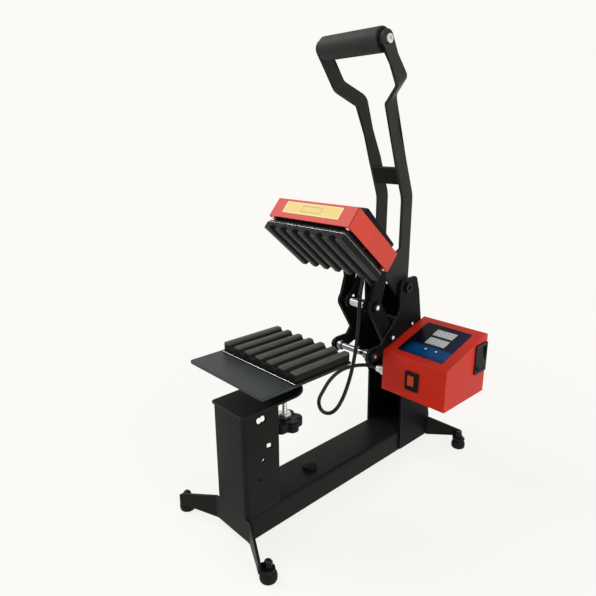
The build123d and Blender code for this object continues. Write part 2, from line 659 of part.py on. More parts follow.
# Plate that carries the upper pad, heater block, insulation and studs
padplate_z = UPPER_PAD_Z + UPPER_PAD_H
padplate = block(
    -PADPLATE_HALF + 2.2,
    PADPLATE_HALF - 2.2,
    COVER_FRONT + 2.5,
    COVER_REAR - 5.0,
    padplate_z,
    padplate_z + PADPLATE_T,
)
padplate = fillet(padplate.edges().filter_by(Axis.Z), 1.5)
heater_z = padplate_z + PADPLATE_T
heater_front = COVER_FRONT + 8.0
heater_rear = COVER_REAR - 10.0
heater = block(-HEATER_HALF, HEATER_HALF, heater_front, heater_rear, heater_z, heater_z + HEATER_T)
heater = fillet(heater.edges().filter_by(Axis.Z), 3.0)
element_y = (heater_front + heater_rear) / 2
heater -= flat_yz(Pos(element_y, heater_z + HEATER_T / 2) * Circle(3.25 + SEAT), -80, 80)
element = rod_x((element_y, heater_z + HEATER_T / 2), 3.25, -HEATER_HALF + 2, HEATER_HALF - 2)
wool_z = heater_z + HEATER_T
insulation = block(
    -HEATER_HALF,
    HEATER_HALF,
    heater_front,
    heater_rear,
    wool_z,
    COVER_TOP - COVER_T,
)
heater_studs = []
for x in (-STUD_X, STUD_X):
    for y in (heater_front + STUD_IN, heater_rear - STUD_IN):
        insulation -= rod_z(x, y, 3.0, wool_z - 1, COVER_TOP + 1)
        cover -= rod_z(x, y, 2.0, COVER_TOP - COVER_T - 1, COVER_TOP + 1)
        tray -= rod_z(x, y, 2.0, tray_top - TRAY_T - 1, tray_top + 1)
        heater -= rod_z(x, y, 2.0, wool_z - 5.0, wool_z + 1)
        stud = rod_z(x, y, 2.0, wool_z - 5.0, tray_top)
        stud += rod_z(x, y, 3.0, wool_z, COVER_TOP - COVER_T)
        stud += rod_z(x, y, 3.0, COVER_TOP, tray_top - TRAY_T)
        stud += rod_z(x, y, 3.5, tray_top, tray_top + 2.0)
        heater_studs.append(stud)

# Upper pen pad, ribs down
upper_profile = mirror(pad_profile(UPPER_PAD_H), about=Plane.XZ)
upper_pad = flat_xz(Pos(0, padplate_z) * upper_profile, PAD_FRONT, PAD_REAR)

# Bare label plate on the front of the cover
label_z = COVER_TOP - LABEL_DROP
label_face = Pos(0, label_z) * Rectangle(LABEL_W, LABEL_H)
label_plate = flat_xz(fillet(label_face.vertices(), 1.0), COVER_FRONT - LABEL_T, COVER_FRONT)

# Gland at the back of the head
gland_hole = Pos(LEAD_X, HEAD_GLAND_Z) * Circle(GLAND_R - 2.5)
cover -= flat_xz(gland_hole, COVER_REAR - COVER_T - 1, COVER_REAR + 1)
gland_face = Pos(LEAD_X, HEAD_GLAND_Z)
head_gland = flat_xz(gland_face * Circle(GLAND_R - 0.5), COVER_REAR, COVER_REAR + 3.0)
head_gland += flat_xz(gland_face * Circle(GLAND_R - 2.5), COVER_REAR - COVER_T - 2.0, COVER_REAR + 8.0)
head_gland -= flat_xz(gland_face * Circle(LEAD_R + SEAT), COVER_REAR + 2.0, COVER_REAR + 12.0)

# Handle arms: flat bars with a hub below, a bend, a knee and a flare outwards
hub = hull(
    [
        (PIVOT_A[0], PIVOT_A[1], 13.0),
        (PIVOT_P[0], PIVOT_P[1], 9.5),
        (BAR_Y + BAR_W / 2 - 4.0, 290.0, 4.0),
        (BAR_Y - BAR_W / 2 + 4.0, 290.0, 4.0),
    ]
)
bar = ribbon([(BAR_Y, 262.0), (BAR_Y, BAR_BEND_Z), KNEE], BAR_W)
bend_corners = [v for v in bar.vertices() if abs(v.Y - BAR_BEND_Z) < 8.0]
bar = fillet(bend_corners, 30.0)
lower_arm = hub + bar + Pos(*KNEE) * Circle(BAR_W / 2)
lower_arm -= Pos(*PIVOT_A) * Circle(PIVOT_R + RUN)
lower_arm -= Pos(*PIVOT_P) * Circle(LINK_PIN_R)
right_arm = flat_yz(lower_arm, HANDLE_ARM_X, handle_out)
rise = math.hypot(GRIP_AT[0] - KNEE[0], GRIP_AT[1] - KNEE[1])
lean_back = math.degrees(math.atan2(KNEE[0] - GRIP_AT[0], GRIP_AT[1] - KNEE[1]))
arm_mid = HANDLE_ARM_X + ARM_T / 2
wide_mid = WIDE_X + ARM_T / 2
flare_line = [
    (arm_mid, 0.0),
    (arm_mid, FLARE_S0),
    (wide_mid, FLARE_S1),
    (wide_mid, rise + BAR_W / 2),
]
flare = ribbon(flare_line, ARM_T)
flare = fillet([v for v in flare.vertices() if 0.5 < v.Y < rise], 3.0)
flare = extrude(Plane.XZ * flare, amount=BAR_W / 2, both=True)
end_cut = Rot(0, 90, 0) * Cylinder(60, 200)
end_cut = Pos(0, 0, rise) * (Rot(0, 90, 0) * Cylinder(BAR_W / 2, 200))
end_cut += Pos(0, 0, rise - 100) * Box(200, BAR_W, 200)
flare &= end_cut
flare = Pos(0, KNEE[0], KNEE[1]) * Rot(lean_back, 0, 0) * flare
right_arm += flare
right_arm -= rod_x(GRIP_AT, 3.0 + SEAT, WIDE_X - 5, WIDE_X + ARM_T + 5)
left_arm = mirror(right_arm, about=Plane.YZ)

# Crossbar between the arms
bar_dir = (KNEE[0] - BAR_Y, KNEE[1] - BAR_BEND_Z)
bar_len = math.hypot(*bar_dir)
along = (bar_dir[0] / bar_len, bar_dir[1] / bar_len)


def bar_point(z, across):
    """Point beside the middle line of the slanted bar, at a height."""
    s = (z - BAR_BEND_Z) / along[1]
    y = BAR_Y + s * along[0] - across * along[1]
    return (y, z + across * along[0])


cross_at = -BAR_W / 2 + CROSS_T / 2 + 0.5
crossbar_face = ribbon([bar_point(CROSS_LOW, -cross_at), bar_point(CROSS_TOP, -cross_at)], CROSS_T)
crossbar = flat_yz(crossbar_face, -HANDLE_ARM_X, HANDLE_ARM_X)

# Grip: steel core with end collars, rubber sleeve and screws
core = rod_x(GRIP_AT, GRIP_CORE_R, -WIDE_X, WIDE_X)
core -= rod_x(GRIP_AT, 3.0, WIDE_X - 15, WIDE_X + 1)
core -= rod_x(GRIP_AT, 3.0, -WIDE_X - 1, -WIDE_X + 15)
sleeve = rod_x(GRIP_AT, GRIP_R, -WIDE_X + GRIP_END, WIDE_X - GRIP_END)
sleeve = fillet(sleeve.edges().filter_by(GeomType.CIRCLE), 1.2)
sleeve -= rod_x(GRIP_AT, GRIP_CORE_R, -WIDE_X, WIDE_X)
core += rod_x(GRIP_AT, GRIP_R - 2.0, WIDE_X - GRIP_END, WIDE_X) - rod_x(GRIP_AT, 3.0, 0, 60)
core += rod_x(GRIP_AT, GRIP_R - 2.0, -WIDE_X, -WIDE_X + GRIP_END) - rod_x(GRIP_AT, 3.0, -60, 0)
grip_screw = rod_x(GRIP_AT, 3.0, WIDE_X - 15, WIDE_X + ARM_T)
grip_screw += rod_x(GRIP_AT, 4.6, WIDE_X + ARM_T, WIDE_X + ARM_T + 3.0)
grip_screw -= flat_yz(Pos(*GRIP_AT) * RegularPolygon(2.4, 6), WIDE_X + ARM_T + 1.0, WIDE_X + ARM_T + 9)
grip_screws = both(grip_screw)

# Control box: a folded case with a sloped panel, closed below by a plate
box_side = poly(
    (BOX_Y0, BOX_LOW),
    (BOX_Y1, BOX_LOW),
    (BOX_Y1, BOX_REAR_TOP),
    (BOX_Y0, BOX_FRONT_TOP),
)
box_outer = fillet([v for v in box_side.vertices() if v.Y > 150], BOX_BEND)
panel_angle = math.degrees(math.atan2(BOX_REAR_TOP - BOX_FRONT_TOP, BOX_Y1 - BOX_Y0))
panel_cos = math.cos(math.radians(panel_angle))
drop = BOX_T / panel_cos
front_in = BOX_FRONT_TOP - drop + BOX_T * math.tan(math.radians(panel_angle))
rear_in = BOX_REAR_TOP - drop - BOX_T * math.tan(math.radians(panel_angle))
box_inner = poly(
    (BOX_Y0 + BOX_T, BOX_LOW - 5),
    (BOX_Y1 - BOX_T, BOX_LOW - 5),
    (BOX_Y1 - BOX_T, rear_in),
    (BOX_Y0 + BOX_T, front_in),
)
case = flat_yz(box_outer, BOX_X0, BOX_X1) - flat_yz(box_inner, BOX_X0 + BOX_T, BOX_X1 - BOX_T)
box_plate = block(
    BOX_X0 + BOX_T,
    BOX_X1 - BOX_T,
    BOX_Y0 + BOX_T,
    BOX_Y1 - BOX_T,
    BOX_LOW,
    BOX_LOW + BOX_T,
)

# Panel plane: U along X from the case's left wall, V up the slope, W out of it
panel = Plane(
    origin=(BOX_X0, BOX_Y0, BOX_FRONT_TOP),
    x_dir=(1, 0, 0),
    z_dir=(0, -math.sin(math.radians(panel_angle)), math.cos(math.radians(panel_angle))),
)


def on_panel(face, w0, w1):
    """Extrude a face drawn in (U, V) on the panel from w0 to w1."""
    return extrude(panel.offset(w0) * face, amount=w1 - w0, dir=panel.z_dir)


def panel_rect(u0, u1, v0, v1):
    """Rectangle in (U, V) from its limits."""
    return Pos((u0 + u1) / 2, (v0 + v1) / 2) * Rectangle(u1 - u0, v1 - v0)


membrane_face = panel_rect(MEMBRANE_U[0], MEMBRANE_U[1], MEMBRANE_V[0], MEMBRANE_V[1])
membrane_face = fillet(membrane_face.vertices(), 2.0)
window_faces = [panel_rect(*w) for w in WINDOWS]
for face in window_faces:
    membrane_face -= face
key_hole_r = KEY_R + GAP
for u, v in KEYS:
    membrane_face -= Pos(u, v) * Circle(key_hole_r)
    case -= on_panel(Pos(u, v) * Circle(key_hole_r), -10, 5)
membrane = on_panel(membrane_face, 0, MEMBRANE_T)
windows = [on_panel(face, 0, MEMBRANE_T) for face in window_faces]
key_flange_top = -BOX_T - 0.2
keys = []
for u, v in KEYS:
    key = on_panel(Pos(u, v) * Circle(KEY_R), key_flange_top - 1.0, MEMBRANE_T + KEY_PROUD)
    key += on_panel(Pos(u, v) * Circle(KEY_R + 1.2), key_flange_top - 1.0, key_flange_top)
    keys.append(key)
board_top = key_flange_top - 1.0 - KEY_TRAVEL - 0.3 - 2.0
board = on_panel(panel_rect(*BOARD_U, *BOARD_V), board_top - BOARD_T, board_top)
for u in (BOARD_U[0] + BOARD_POST, BOARD_U[1] - BOARD_POST):
    for v in (BOARD_V[0] + BOARD_POST, BOARD_V[1] - BOARD_POST):
        board += on_panel(Pos(u, v) * Circle(2.5), board_top, -BOX_T)
for u, v in KEYS:
    board += on_panel(panel_rect(u - 3, u + 3, v - 3, v + 3), board_top, board_top + 2.0)
board += on_panel(panel_rect(*CHIP), board_top - BOARD_T - CHIP_H, board_top - BOARD_T)

# Power rocker in its bezel, on the right wall
rocker_in_w = ROCKER_W - 6.0
rocker_in_l = ROCKER_L - 8.0
rocker_at = (ROCKER_Y, ROCKER_Z)
bezel_face = fillet((Pos(*rocker_at) * Rectangle(ROCKER_W, ROCKER_L)).vertices(), 1.5)
body_face = Pos(*rocker_at) * Rectangle(ROCKER_W - 3.0, ROCKER_L - 4.0)
well_face = Pos(*rocker_at) * Rectangle(rocker_in_w, rocker_in_l)
case -= flat_yz(body_face, BOX_X1 - BOX_T - 1, BOX_X1 + 1)
bezel = flat_yz(bezel_face, BOX_X1, BOX_X1 + ROCKER_PROUD)
bezel += flat_yz(body_face, BOX_X1 - 15.0, BOX_X1)
bezel -= flat_yz(well_face, BOX_X1 - 13.0, BOX_X1 + 5)
rocker_axis = (BOX_X1 - 5.0, ROCKER_Z)
rocker_half = rocker_in_l / 2 - GAP - 1.1
rocker_face = poly(
    (BOX_X1 - 5.0, ROCKER_Z - rocker_half),
    (BOX_X1 + 1.6, ROCKER_Z - rocker_half),
    (BOX_X1 + 0.6, ROCKER_Z),
    (BOX_X1 + 1.6, ROCKER_Z + rocker_half),
    (BOX_X1 - 5.0, ROCKER_Z + rocker_half),
    (BOX_X1 - 9.0, ROCKER_Z),
)
rocker = flat_xz(rocker_face, ROCKER_Y - rocker_in_w / 2 + GAP, ROCKER_Y + rocker_in_w / 2 - GAP)
rocker_spin = Axis((rocker_axis[0], ROCKER_Y, rocker_axis[1]), (0, 1, 0))
trunnion = Plane.XZ * Pos(rocker_axis[0], rocker_axis[1]) * Circle(1.5)
trunnion = extrude(trunnion, amount=200, both=True)
trunnion_hole = Plane.XZ * Pos(rocker_axis[0], rocker_axis[1]) * Circle(1.5 + RUN)
trunnion_hole = extrude(trunnion_hole, amount=200, both=True)
wall_in = rocker_in_w / 2 + 1.0
slab = block(0, 200, ROCKER_Y - wall_in, ROCKER_Y + wall_in, 0, 300)
rocker += trunnion & slab
bezel -= trunnion_hole & slab
rocker = rocker.rotate(rocker_spin, -ROCKER_TILT)

# Mains inlet on the back wall
inlet_face = fillet((Pos(INLET_X, INLET_Z) * Rectangle(30.0, 24.0)).vertices(), 2.0)
inlet_body = Pos(INLET_X, INLET_Z) * Rectangle(27.0, 20.0)
inlet_well = Pos(INLET_X, INLET_Z) * Rectangle(24.0, 16.5)
case -= flat_xz(inlet_body, BOX_Y1 - BOX_T - 1, BOX_Y1 + 1)
inlet = flat_xz(inlet_face, BOX_Y1, BOX_Y1 + 2.0) + flat_xz(inlet_body, BOX_Y1 - 18.0, BOX_Y1)
inlet -= flat_xz(inlet_well, BOX_Y1 - 14.0, BOX_Y1 + 5)
for x, z in ((-7.0, -1.5), (7.0, -1.5), (0.0, 2.5)):
    pin_face = Pos(INLET_X + x, INLET_Z + z) * Rectangle(2.0, 4.0)
    inlet += flat_xz(pin_face, BOX_Y1 - 15.0, BOX_Y1 - 6.0)

# Gland on the left wall, in front of the upright plate
gland_at = BOX_GLAND
gland_end_x = BOX_X0 - GLAND_LEN
case -= rod_x(gland_at, BOX_GLAND_R - 1.0, BOX_X0 - 1, BOX_X0 + BOX_T + 1)
box_gland = rod_x(gland_at, BOX_GLAND_R, gland_end_x + 5, BOX_X0 - 2)
box_gland += flat_yz(Pos(*gland_at) * RegularPolygon(BOX_GLAND_R + 0.8, 6), BOX_X0 - 5, BOX_X0)
box_gland += rod_x(gland_at, BOX_GLAND_R - 0.6, gland_end_x, gland_end_x + 5)
box_gland += rod_x(gland_at, BOX_GLAND_R - 1.0, BOX_X0, BOX_X0 + BOX_T + 4)
box_gland -= rod_x(gland_at, LEAD_R + SEAT, gland_end_x - 1, BOX_X0 - 3)

# Lead: from the head's gland down between the arms, a loop, and back up into
# the box's gland
axis_y = math.cos(math.radians(HEAD_SWING))
axis_z = -math.sin(math.radians(HEAD_SWING))
lead_start = turn((COVER_REAR + 2.0, HEAD_GLAND_Z), PIVOT_D, -HEAD_SWING)
lead_out = turn((COVER_REAR + 16.0, HEAD_GLAND_Z), PIVOT_D, -HEAD_SWING)
lead_points = [
    (LEAD_X, lead_start[0], lead_start[1]),
    (LEAD_X, lead_out[0], lead_out[1]),
    (LEAD_X - 0.3, 38.0, 263.0),
    (LEAD_X, 31.6, 243.0),
    (LEAD_X + 0.4, 31.4, 206.0),
    (LEAD_X + 0.7, 26.0, 172.0),
    (LEAD_X + 1.8, 18.0, 146.0),
    (LEAD_X + 2.7, 8.6, 127.0),
    (LEAD_X + 3.2, 0.2, 114.8),
    (12.2, -8.6, 105.5),
    (6.0, -12.9, 98.1),
    (-4.0, -14.5, 95.3),
    (-14.0, -12.9, 98.1),
    (-20.2, -8.6, 105.5),
    (-21.2, 0.4, 114.0),
    (-20.5, 12.5, 127.0),
    (-17.0, 29.0, 136.5),
    (-9.5, 46.0, 139.6),
    (0.0, BOX_GLAND[0] - 4.0, BOX_GLAND[1] - 0.2),
    (BOX_X0 - GLAND_LEN - 8.0, BOX_GLAND[0], BOX_GLAND[1]),
    (BOX_X0 - 3.0, BOX_GLAND[0], BOX_GLAND[1]),
]
lead_vectors = [Vector(*p) for p in lead_points]
lead_radii = []
for i in range(1, len(lead_vectors) - 1):
    before = lead_vectors[i] - lead_vectors[i - 1]
    after = lead_vectors[i + 1] - lead_vectors[i]
    half = math.radians(before.get_angle(after)) / 2
    lead_radii.append(0.45 * min(before.length, after.length) / math.tan(half))
lead_path = FilletPolyline(*lead_points, radius=lead_radii)
lead_plane = Plane(origin=lead_points[0], z_dir=lead_vectors[1] - lead_vectors[0])
lead = sweep(lead_plane * Circle(LEAD_R), path=lead_path)
print("lead radii", [round(r, 1) for r in lead_radii])
lead_volume = math.pi * LEAD_R**2 * lead_path.length
print("lead length", round(lead_path.length, 1), "volume ratio", round(lead.volume / lead_volume, 4))

nodes = {
    "base_channel": channel,
    "front_leg_bracket": front_bracket,
    "rear_leg_bracket": rear_bracket,
    "foot_pads": foot_pads,
    "foot_studs": foot_studs,
    "foot_nuts": foot_nuts,
    "channel_stop": channel_stop,
    "tower": tower,
    "tower_roof": roof,
    "stem_guide": guide,
    "left_upright_plate": left_upright,
    "right_upright_plate": right_upright,
    "upright_back_web": back_web,
    "tie_rod": tie_rod,
    "tie_rod_nuts": tie_nuts,
    "upright_spacer": spacer,
    "handle_pivot_bolts": handle_bolts,
    "head_pivot_bolts": head_bolts,
    "control_case": case,
    "control_base_plate": box_plate,
    "control_board": board,
    "display_membrane": membrane,
    "display_windows": windows,
    "rocker_bezel": bezel,
    "power_inlet": inlet,
    "box_gland": box_gland,
    "lower_plate": lower_plate,
    "plate_stem": stem,
    "pad_carrier": carrier,
    "lower_pen_pad": lower_pad,
    "pressure_screw": screw,
    "pressure_knob": knob,
    "screw_collars": collars,
    "left_head_arm": left_head_arm,
    "right_head_arm": right_head_arm,
    "cross_shaft": cross_shaft,
    "cross_shaft_screws": shaft_screws,
    "head_tray": open_head(tray),
    "heater_cover": open_head(cover),
    "cover_screws": [open_head(s) for s in cover_screws],
    "insulation": open_head(insulation),
    "heater_block": open_head(heater),
    "heating_element": open_head(element),
    "heater_studs": [open_head(s) for s in heater_studs],
    "pad_plate": open_head(padplate),
    "upper_pen_pad": open_head(upper_pad),
    "label_plate": open_head(label_plate),
    "head_gland": open_head(head_gland),
    "left_handle_arm": left_arm,
    "right_handle_arm": right_arm,
    "handle_crossbar": crossbar,
    "grip_core": core,
    "grip_sleeve": sleeve,
    "grip_screws": grip_screws,
    "toggle_links": links,
    "link_pins": link_pins,
    "power_rocker": rocker,
    "set_key": keys[0],
    "adjust_key": keys[1],
    "heater_lead": lead,
}

# Move everything so that the origin is under the middle of the press
lows = [1e9, 1e9, 1e9]
highs = [-1e9, -1e9, -1e9]
for name, shape in nodes.items():
    if name == "heater_lead":
        continue
    for solid in shape if isinstance(shape, list) else [shape]:
        box = solid.bounding_box()
        lows = [min(a, b) for a, b in zip(lows, (box.min.X, box.min.Y, box.min.Z))]
        highs = [max(a, b) for a, b in zip(highs, (box.max.X, box.max.Y, box.max.Z))]
shift = (-(lows[0] + highs[0]) / 2, -(lows[1] + highs[1]) / 2, -lows[2])
print("shift", shift)
print("size", [round(b - a, 2) for a, b in zip(lows, highs)])

for name, shape in nodes.items():
    if isinstance(shape, list):
        pieces = [Pos(*shift) * s for s in shape]
        export_step(Compound(children=pieces), "parts/" + name + ".step")
    else:
        export_step(Pos(*shift) * shape, "parts/" + name + ".step")
print("nodes", len(nodes))
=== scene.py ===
"""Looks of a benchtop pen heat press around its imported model.

The press stands on four rubber feet. A tower carries the lower plate on a
screw lift, an upright carries the toggle linkage, the red heated head swings
on it, and a long two-bar handle works the toggle. Every piece is in metres in
the model's frame and rides on one of the model's bodies.
"""

import json
import logging
import math
from dataclasses import dataclass, field
from enum import Enum
from typing import Callable, Mapping, Optional, Sequence, Union

import bmesh
import bpy
from mathutils import Matrix, Vector
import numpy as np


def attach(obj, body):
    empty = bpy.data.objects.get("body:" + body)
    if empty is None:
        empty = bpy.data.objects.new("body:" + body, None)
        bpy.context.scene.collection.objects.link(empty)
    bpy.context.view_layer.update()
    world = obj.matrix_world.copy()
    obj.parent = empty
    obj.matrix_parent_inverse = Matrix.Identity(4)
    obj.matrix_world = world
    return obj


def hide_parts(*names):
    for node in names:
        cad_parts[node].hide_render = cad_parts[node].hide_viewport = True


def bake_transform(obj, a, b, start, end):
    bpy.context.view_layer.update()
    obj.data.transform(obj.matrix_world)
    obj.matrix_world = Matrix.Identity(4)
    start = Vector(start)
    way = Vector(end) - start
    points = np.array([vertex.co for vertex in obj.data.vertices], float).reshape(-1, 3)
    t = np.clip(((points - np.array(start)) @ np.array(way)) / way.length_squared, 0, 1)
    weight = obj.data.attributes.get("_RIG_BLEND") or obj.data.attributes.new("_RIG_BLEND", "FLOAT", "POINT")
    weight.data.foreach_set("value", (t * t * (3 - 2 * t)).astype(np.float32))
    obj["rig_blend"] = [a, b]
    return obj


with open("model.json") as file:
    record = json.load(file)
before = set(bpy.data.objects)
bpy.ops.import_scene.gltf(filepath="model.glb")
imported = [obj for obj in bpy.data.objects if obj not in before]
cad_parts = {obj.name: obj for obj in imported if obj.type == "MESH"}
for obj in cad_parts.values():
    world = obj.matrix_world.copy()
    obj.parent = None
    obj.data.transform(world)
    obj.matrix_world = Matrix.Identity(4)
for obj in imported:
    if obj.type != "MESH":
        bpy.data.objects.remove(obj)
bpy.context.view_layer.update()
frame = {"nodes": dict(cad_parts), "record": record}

LOG = logging.getLogger("pen_press")
MM = 0.001

# Places and angles of the press, in its own millimetres and degrees; the shift leads to the frame
SHIFT = Vector((-20.176815, -2.5, 0.0))
HEAD_BOLTS = (69.5, 184.3)
HEAD_OPEN = -41.0
PANEL_CORNER = (30.0, 55.6, 170.1)
PANEL_TILT = 16.26

# The way to the right, and the backdrop's colour
RIGHTWARDS = (1.0, 0.0, 0.0)
PAPER = (0.965, 0.955, 0.920)

# Short names for types
Colour = tuple[float, float, float]
Spot = tuple[float, float]
Piece = bpy.types.Object
Mesh = bpy.types.Mesh
Material = bpy.types.Material
Socket = bpy.types.NodeSocket
Tree = bpy.types.NodeTree
Work = bmesh.types.BMesh
Reshape = Callable[[Work], None]
Term = Union["Value", Socket, float, int, Sequence[float], str, None]
Settings = Optional[Mapping[str, object]]
Inputs = Optional[Mapping[Union[str, int], Term]]


def at(x: float, y: float, z: float) -> Vector:
    """Turn machine millimetres, measured from the pads' middle plane, into metres of the frame."""
    return (Vector((x, y, z)) + SHIFT) * MM


def machine(place: Vector) -> Vector:
    """Turn metres of the frame back into machine millimetres."""
    return place / MM - SHIFT


def sloped(degrees: float) -> Vector:
    """The way to the rear, turned up by an angle in the side view."""
    angle = math.radians(degrees)
    return Vector((0.0, math.cos(angle), math.sin(angle)))


PANEL_UP = sloped(PANEL_TILT)
HEAD_BACK = sloped(HEAD_OPEN)
HEAD_UP = Vector((0.0, -HEAD_BACK.z, HEAD_BACK.y))


def plug(tree: Tree, socket: Socket, term: Term) -> None:
    """Give an input socket a link or a plain value.

    Args:
        tree: The tree that holds the socket.
        socket: The input socket.
        term: A Value, an output socket, or a plain value.
    """
    if isinstance(term, Value):
        tree.links.new(term.socket, socket)
    elif isinstance(term, Socket):
        tree.links.new(term, socket)
    elif term is not None:
        socket.default_value = term


class Value:
    """A number that changes over a surface or a mesh, used in plain expressions."""

    def __init__(self, tree: Tree, socket: Socket) -> None:
        """Wrap an output socket of a node tree."""
        self.tree = tree
        self.socket = socket

    def maths(self, operation: str, *terms: Term) -> "Value":
        """Add one Math node.

        Args:
            operation: The node's operation.
            terms: Its inputs in order.

        Returns:
            The node's result.
        """
        node = self.tree.nodes.new("ShaderNodeMath")
        node.operation = operation
        for socket, term in zip(node.inputs, terms):
            plug(self.tree, socket, term)
        return Value(self.tree, node.outputs[0])

    def __add__(self, other: Term) -> "Value":
        """Sum."""
        return self.maths("ADD", self, other)

    def __radd__(self, other: Term) -> "Value":
        """Sum with a number on the left."""
        return self.maths("ADD", other, self)

    def __sub__(self, other: Term) -> "Value":
        """Difference."""
        return self.maths("SUBTRACT", self, other)

    def __rsub__(self, other: Term) -> "Value":
        """Difference with a number on the left."""
        return self.maths("SUBTRACT", other, self)

    def __mul__(self, other: Term) -> "Value":
        """Product."""
        return self.maths("MULTIPLY", self, other)

    def __rmul__(self, other: Term) -> "Value":
        """Product with a number on the left."""
        return self.maths("MULTIPLY", other, self)

    def __truediv__(self, other: Term) -> "Value":
        """Quotient."""
        return self.maths("DIVIDE", self, other)

    def __pow__(self, other: Term) -> "Value":
        """Power."""
        return self.maths("POWER", self, other)

    def above(self, edge: Term) -> "Value":
        """One where this is greater than the edge, else zero."""
        return self.maths("GREATER_THAN", self, edge)

    def below(self, edge: Term) -> "Value":
        """One where this is less than the edge, else zero."""
        return self.maths("LESS_THAN", self, edge)

    def __abs__(self) -> "Value":
        """Size without its sign."""
        return self.maths("ABSOLUTE", self)

    def larger(self, other: Term) -> "Value":
        """The larger one of this and another."""
        return self.maths("MAXIMUM", self, other)

    def reach(self, other: "Value") -> "Value":
        """How far off a point lies that has this and another as its coordinates."""
        return self.maths("SQRT", self * self + other * other)

    def ramp(self, low: float, high: float) -> "Value":
        """Rise smoothly from zero at low to one at high.

        Args:
            low: Where the rise starts.
            high: Where it ends; it may lie below low.

        Returns:
            A value from zero to one.
        """
        node = self.tree.nodes.new("ShaderNodeMapRange")
        node.interpolation_type = "SMOOTHSTEP"
        plug(self.tree, node.inputs["Value"], self)
        node.inputs["From Min"].default_value = low
        node.inputs["From Max"].default_value = high
        return Value(self.tree, node.outputs["Result"])


class Network:
    """A node tree and the ways to add nodes to it."""

    def __init__(self, tree: Tree) -> None:
        """Take a tree in hand."""
        self.tree = tree

    def node(self, kind: str, settings: Settings = None, inputs: Inputs = None) -> bpy.types.Node:
        """Add a node of any kind.

        Args:
            kind: The node's type name.
            settings: Its own settings, which are set first.
            inputs: Values or links for its sockets, by name or number.

        Returns:
            The new node.
        """
        node = self.tree.nodes.new(kind)
        for key, value in (settings or {}).items():
            setattr(node, key, value)
        for key, term in (inputs or {}).items():
            plug(self.tree, node.inputs[key], term)
        return node

    def out(self, kind: str, settings: Settings = None, inputs: Inputs = None) -> Socket:
        """Add a node as node() does and give its first output."""
        return self.node(kind, settings, inputs).outputs[0]

    def seen(self) -> Value:
        """One for the rays that show the backdrop, straight or by way of metal and glass.

        Returns:
            The value, which is zero for the rays that light things.
        """
        path = self.node("ShaderNodeLightPath")
        kinds = ("Camera", "Glossy", "Transmission")
        camera, glossy, through = (Value(self.tree, path.outputs[f"Is {kind} Ray"]) for kind in kinds)
        return camera.larger(glossy.larger(through))


class Coat(Network):
    """One material while it is being mixed."""

    def __init__(self, name: str) -> None:
        """Start an empty material with a shader and an output."""
        self.material = bpy.data.materials.new(name)
        self.material.use_nodes = True
        super().__init__(self.material.node_tree)
        self.tree.nodes.clear()
        self.output = self.node("ShaderNodeOutputMaterial")
        self.shader = self.node("ShaderNodeBsdfPrincipled")
        self.tree.links.new(self.shader.outputs[0], self.output.inputs["Surface"])
        self.place = self.node("ShaderNodeTexCoord").outputs["Object"]

    def noise(self, size: float, detail: float = 2.0, stretch: Sequence[float] = (1, 1, 1)) -> Value:
        """Soft noise on Object coordinates.

        Args:
            size: The size of its lumps, in metres.
            detail: How many finer layers it has.
            stretch: A factor on each axis; a small one draws the lumps out along it.

        Returns:
            A value round one half.
        """
        scale = {"Vector": self.place, "Scale": tuple(stretch)}
        scaled = self.out("ShaderNodeMapping", {"vector_type": "POINT"}, scale)
        lumps = {"Vector": scaled, "Scale": 1 / size, "Detail": detail}
        return Value(self.tree, self.out("ShaderNodeTexNoise", None, lumps))

    def along(self, axis: Sequence[float], origin: Vector) -> Value:
        """Distance along an axis from a point, in metres.

        Args:
            axis: The direction, of length one.
            origin: Where the distance is zero.

        Returns:
            The distance as a value.
        """
        ends = {0: self.place, 1: tuple(axis)}
        node = self.node("ShaderNodeVectorMath", {"operation": "DOT_PRODUCT"}, ends)
        return Value(self.tree, node.outputs["Value"]) - Vector(axis).dot(origin)

    def attribute(self, name: str) -> Value:
        """A number stored on the mesh under a name."""
        return Value(self.tree, self.node("ShaderNodeAttribute", {"attribute_name": name}).outputs["Fac"])

    def mix(self, share: Term, first: Term, second: Term) -> Socket:
        """Mix two colours.

        Args:
            share: How much of the second one shows, from zero to one.
            first: A colour or a colour socket.
            second: A colour or a colour socket.

        Returns:
            The mixed colour's socket.
        """
        ends = [(*c, 1.0) if isinstance(c, tuple) else c for c in (first, second)]
        node = self.node("ShaderNodeMix", {"data_type": "RGBA"}, {0: share, 6: ends[0], 7: ends[1]})
        return node.outputs[2]

    def bump(self, height: Value, rise: float, strength: float = 1.0) -> Socket:
        """Bump from a height.

        Args:
            height: The height from zero to one.
            rise: How high one stands, in metres.
            strength: The bump's strength.

        Returns:
            The normal's socket.
        """
        return self.out("ShaderNodeBump", None, {"Strength": strength, "Distance": rise, "Height": height})

    def finish(self, **sockets: Term) -> None:
        """Fill the shader's sockets, whose names are written with underscores."""
        for name, term in sockets.items():
            value = (*term, 1.0) if isinstance(term, tuple) and len(term) == 3 else term
            plug(self.tree, self.shader.inputs[name.replace("_", " ")], value)


class Finish:
    """A finish of the press; each kind has a mix of its own."""

    def mix(self, coat: Coat) -> None:
        """Mix the coat, as each kind of finish does in its own way."""
        raise NotImplementedError

    def build(self, name: str) -> Material:
        """Make the material.

        Args:
            name: The material's name.

        Returns:
            The material.
        """
        coat = Coat(name)
        self.mix(coat)
        return coat.material


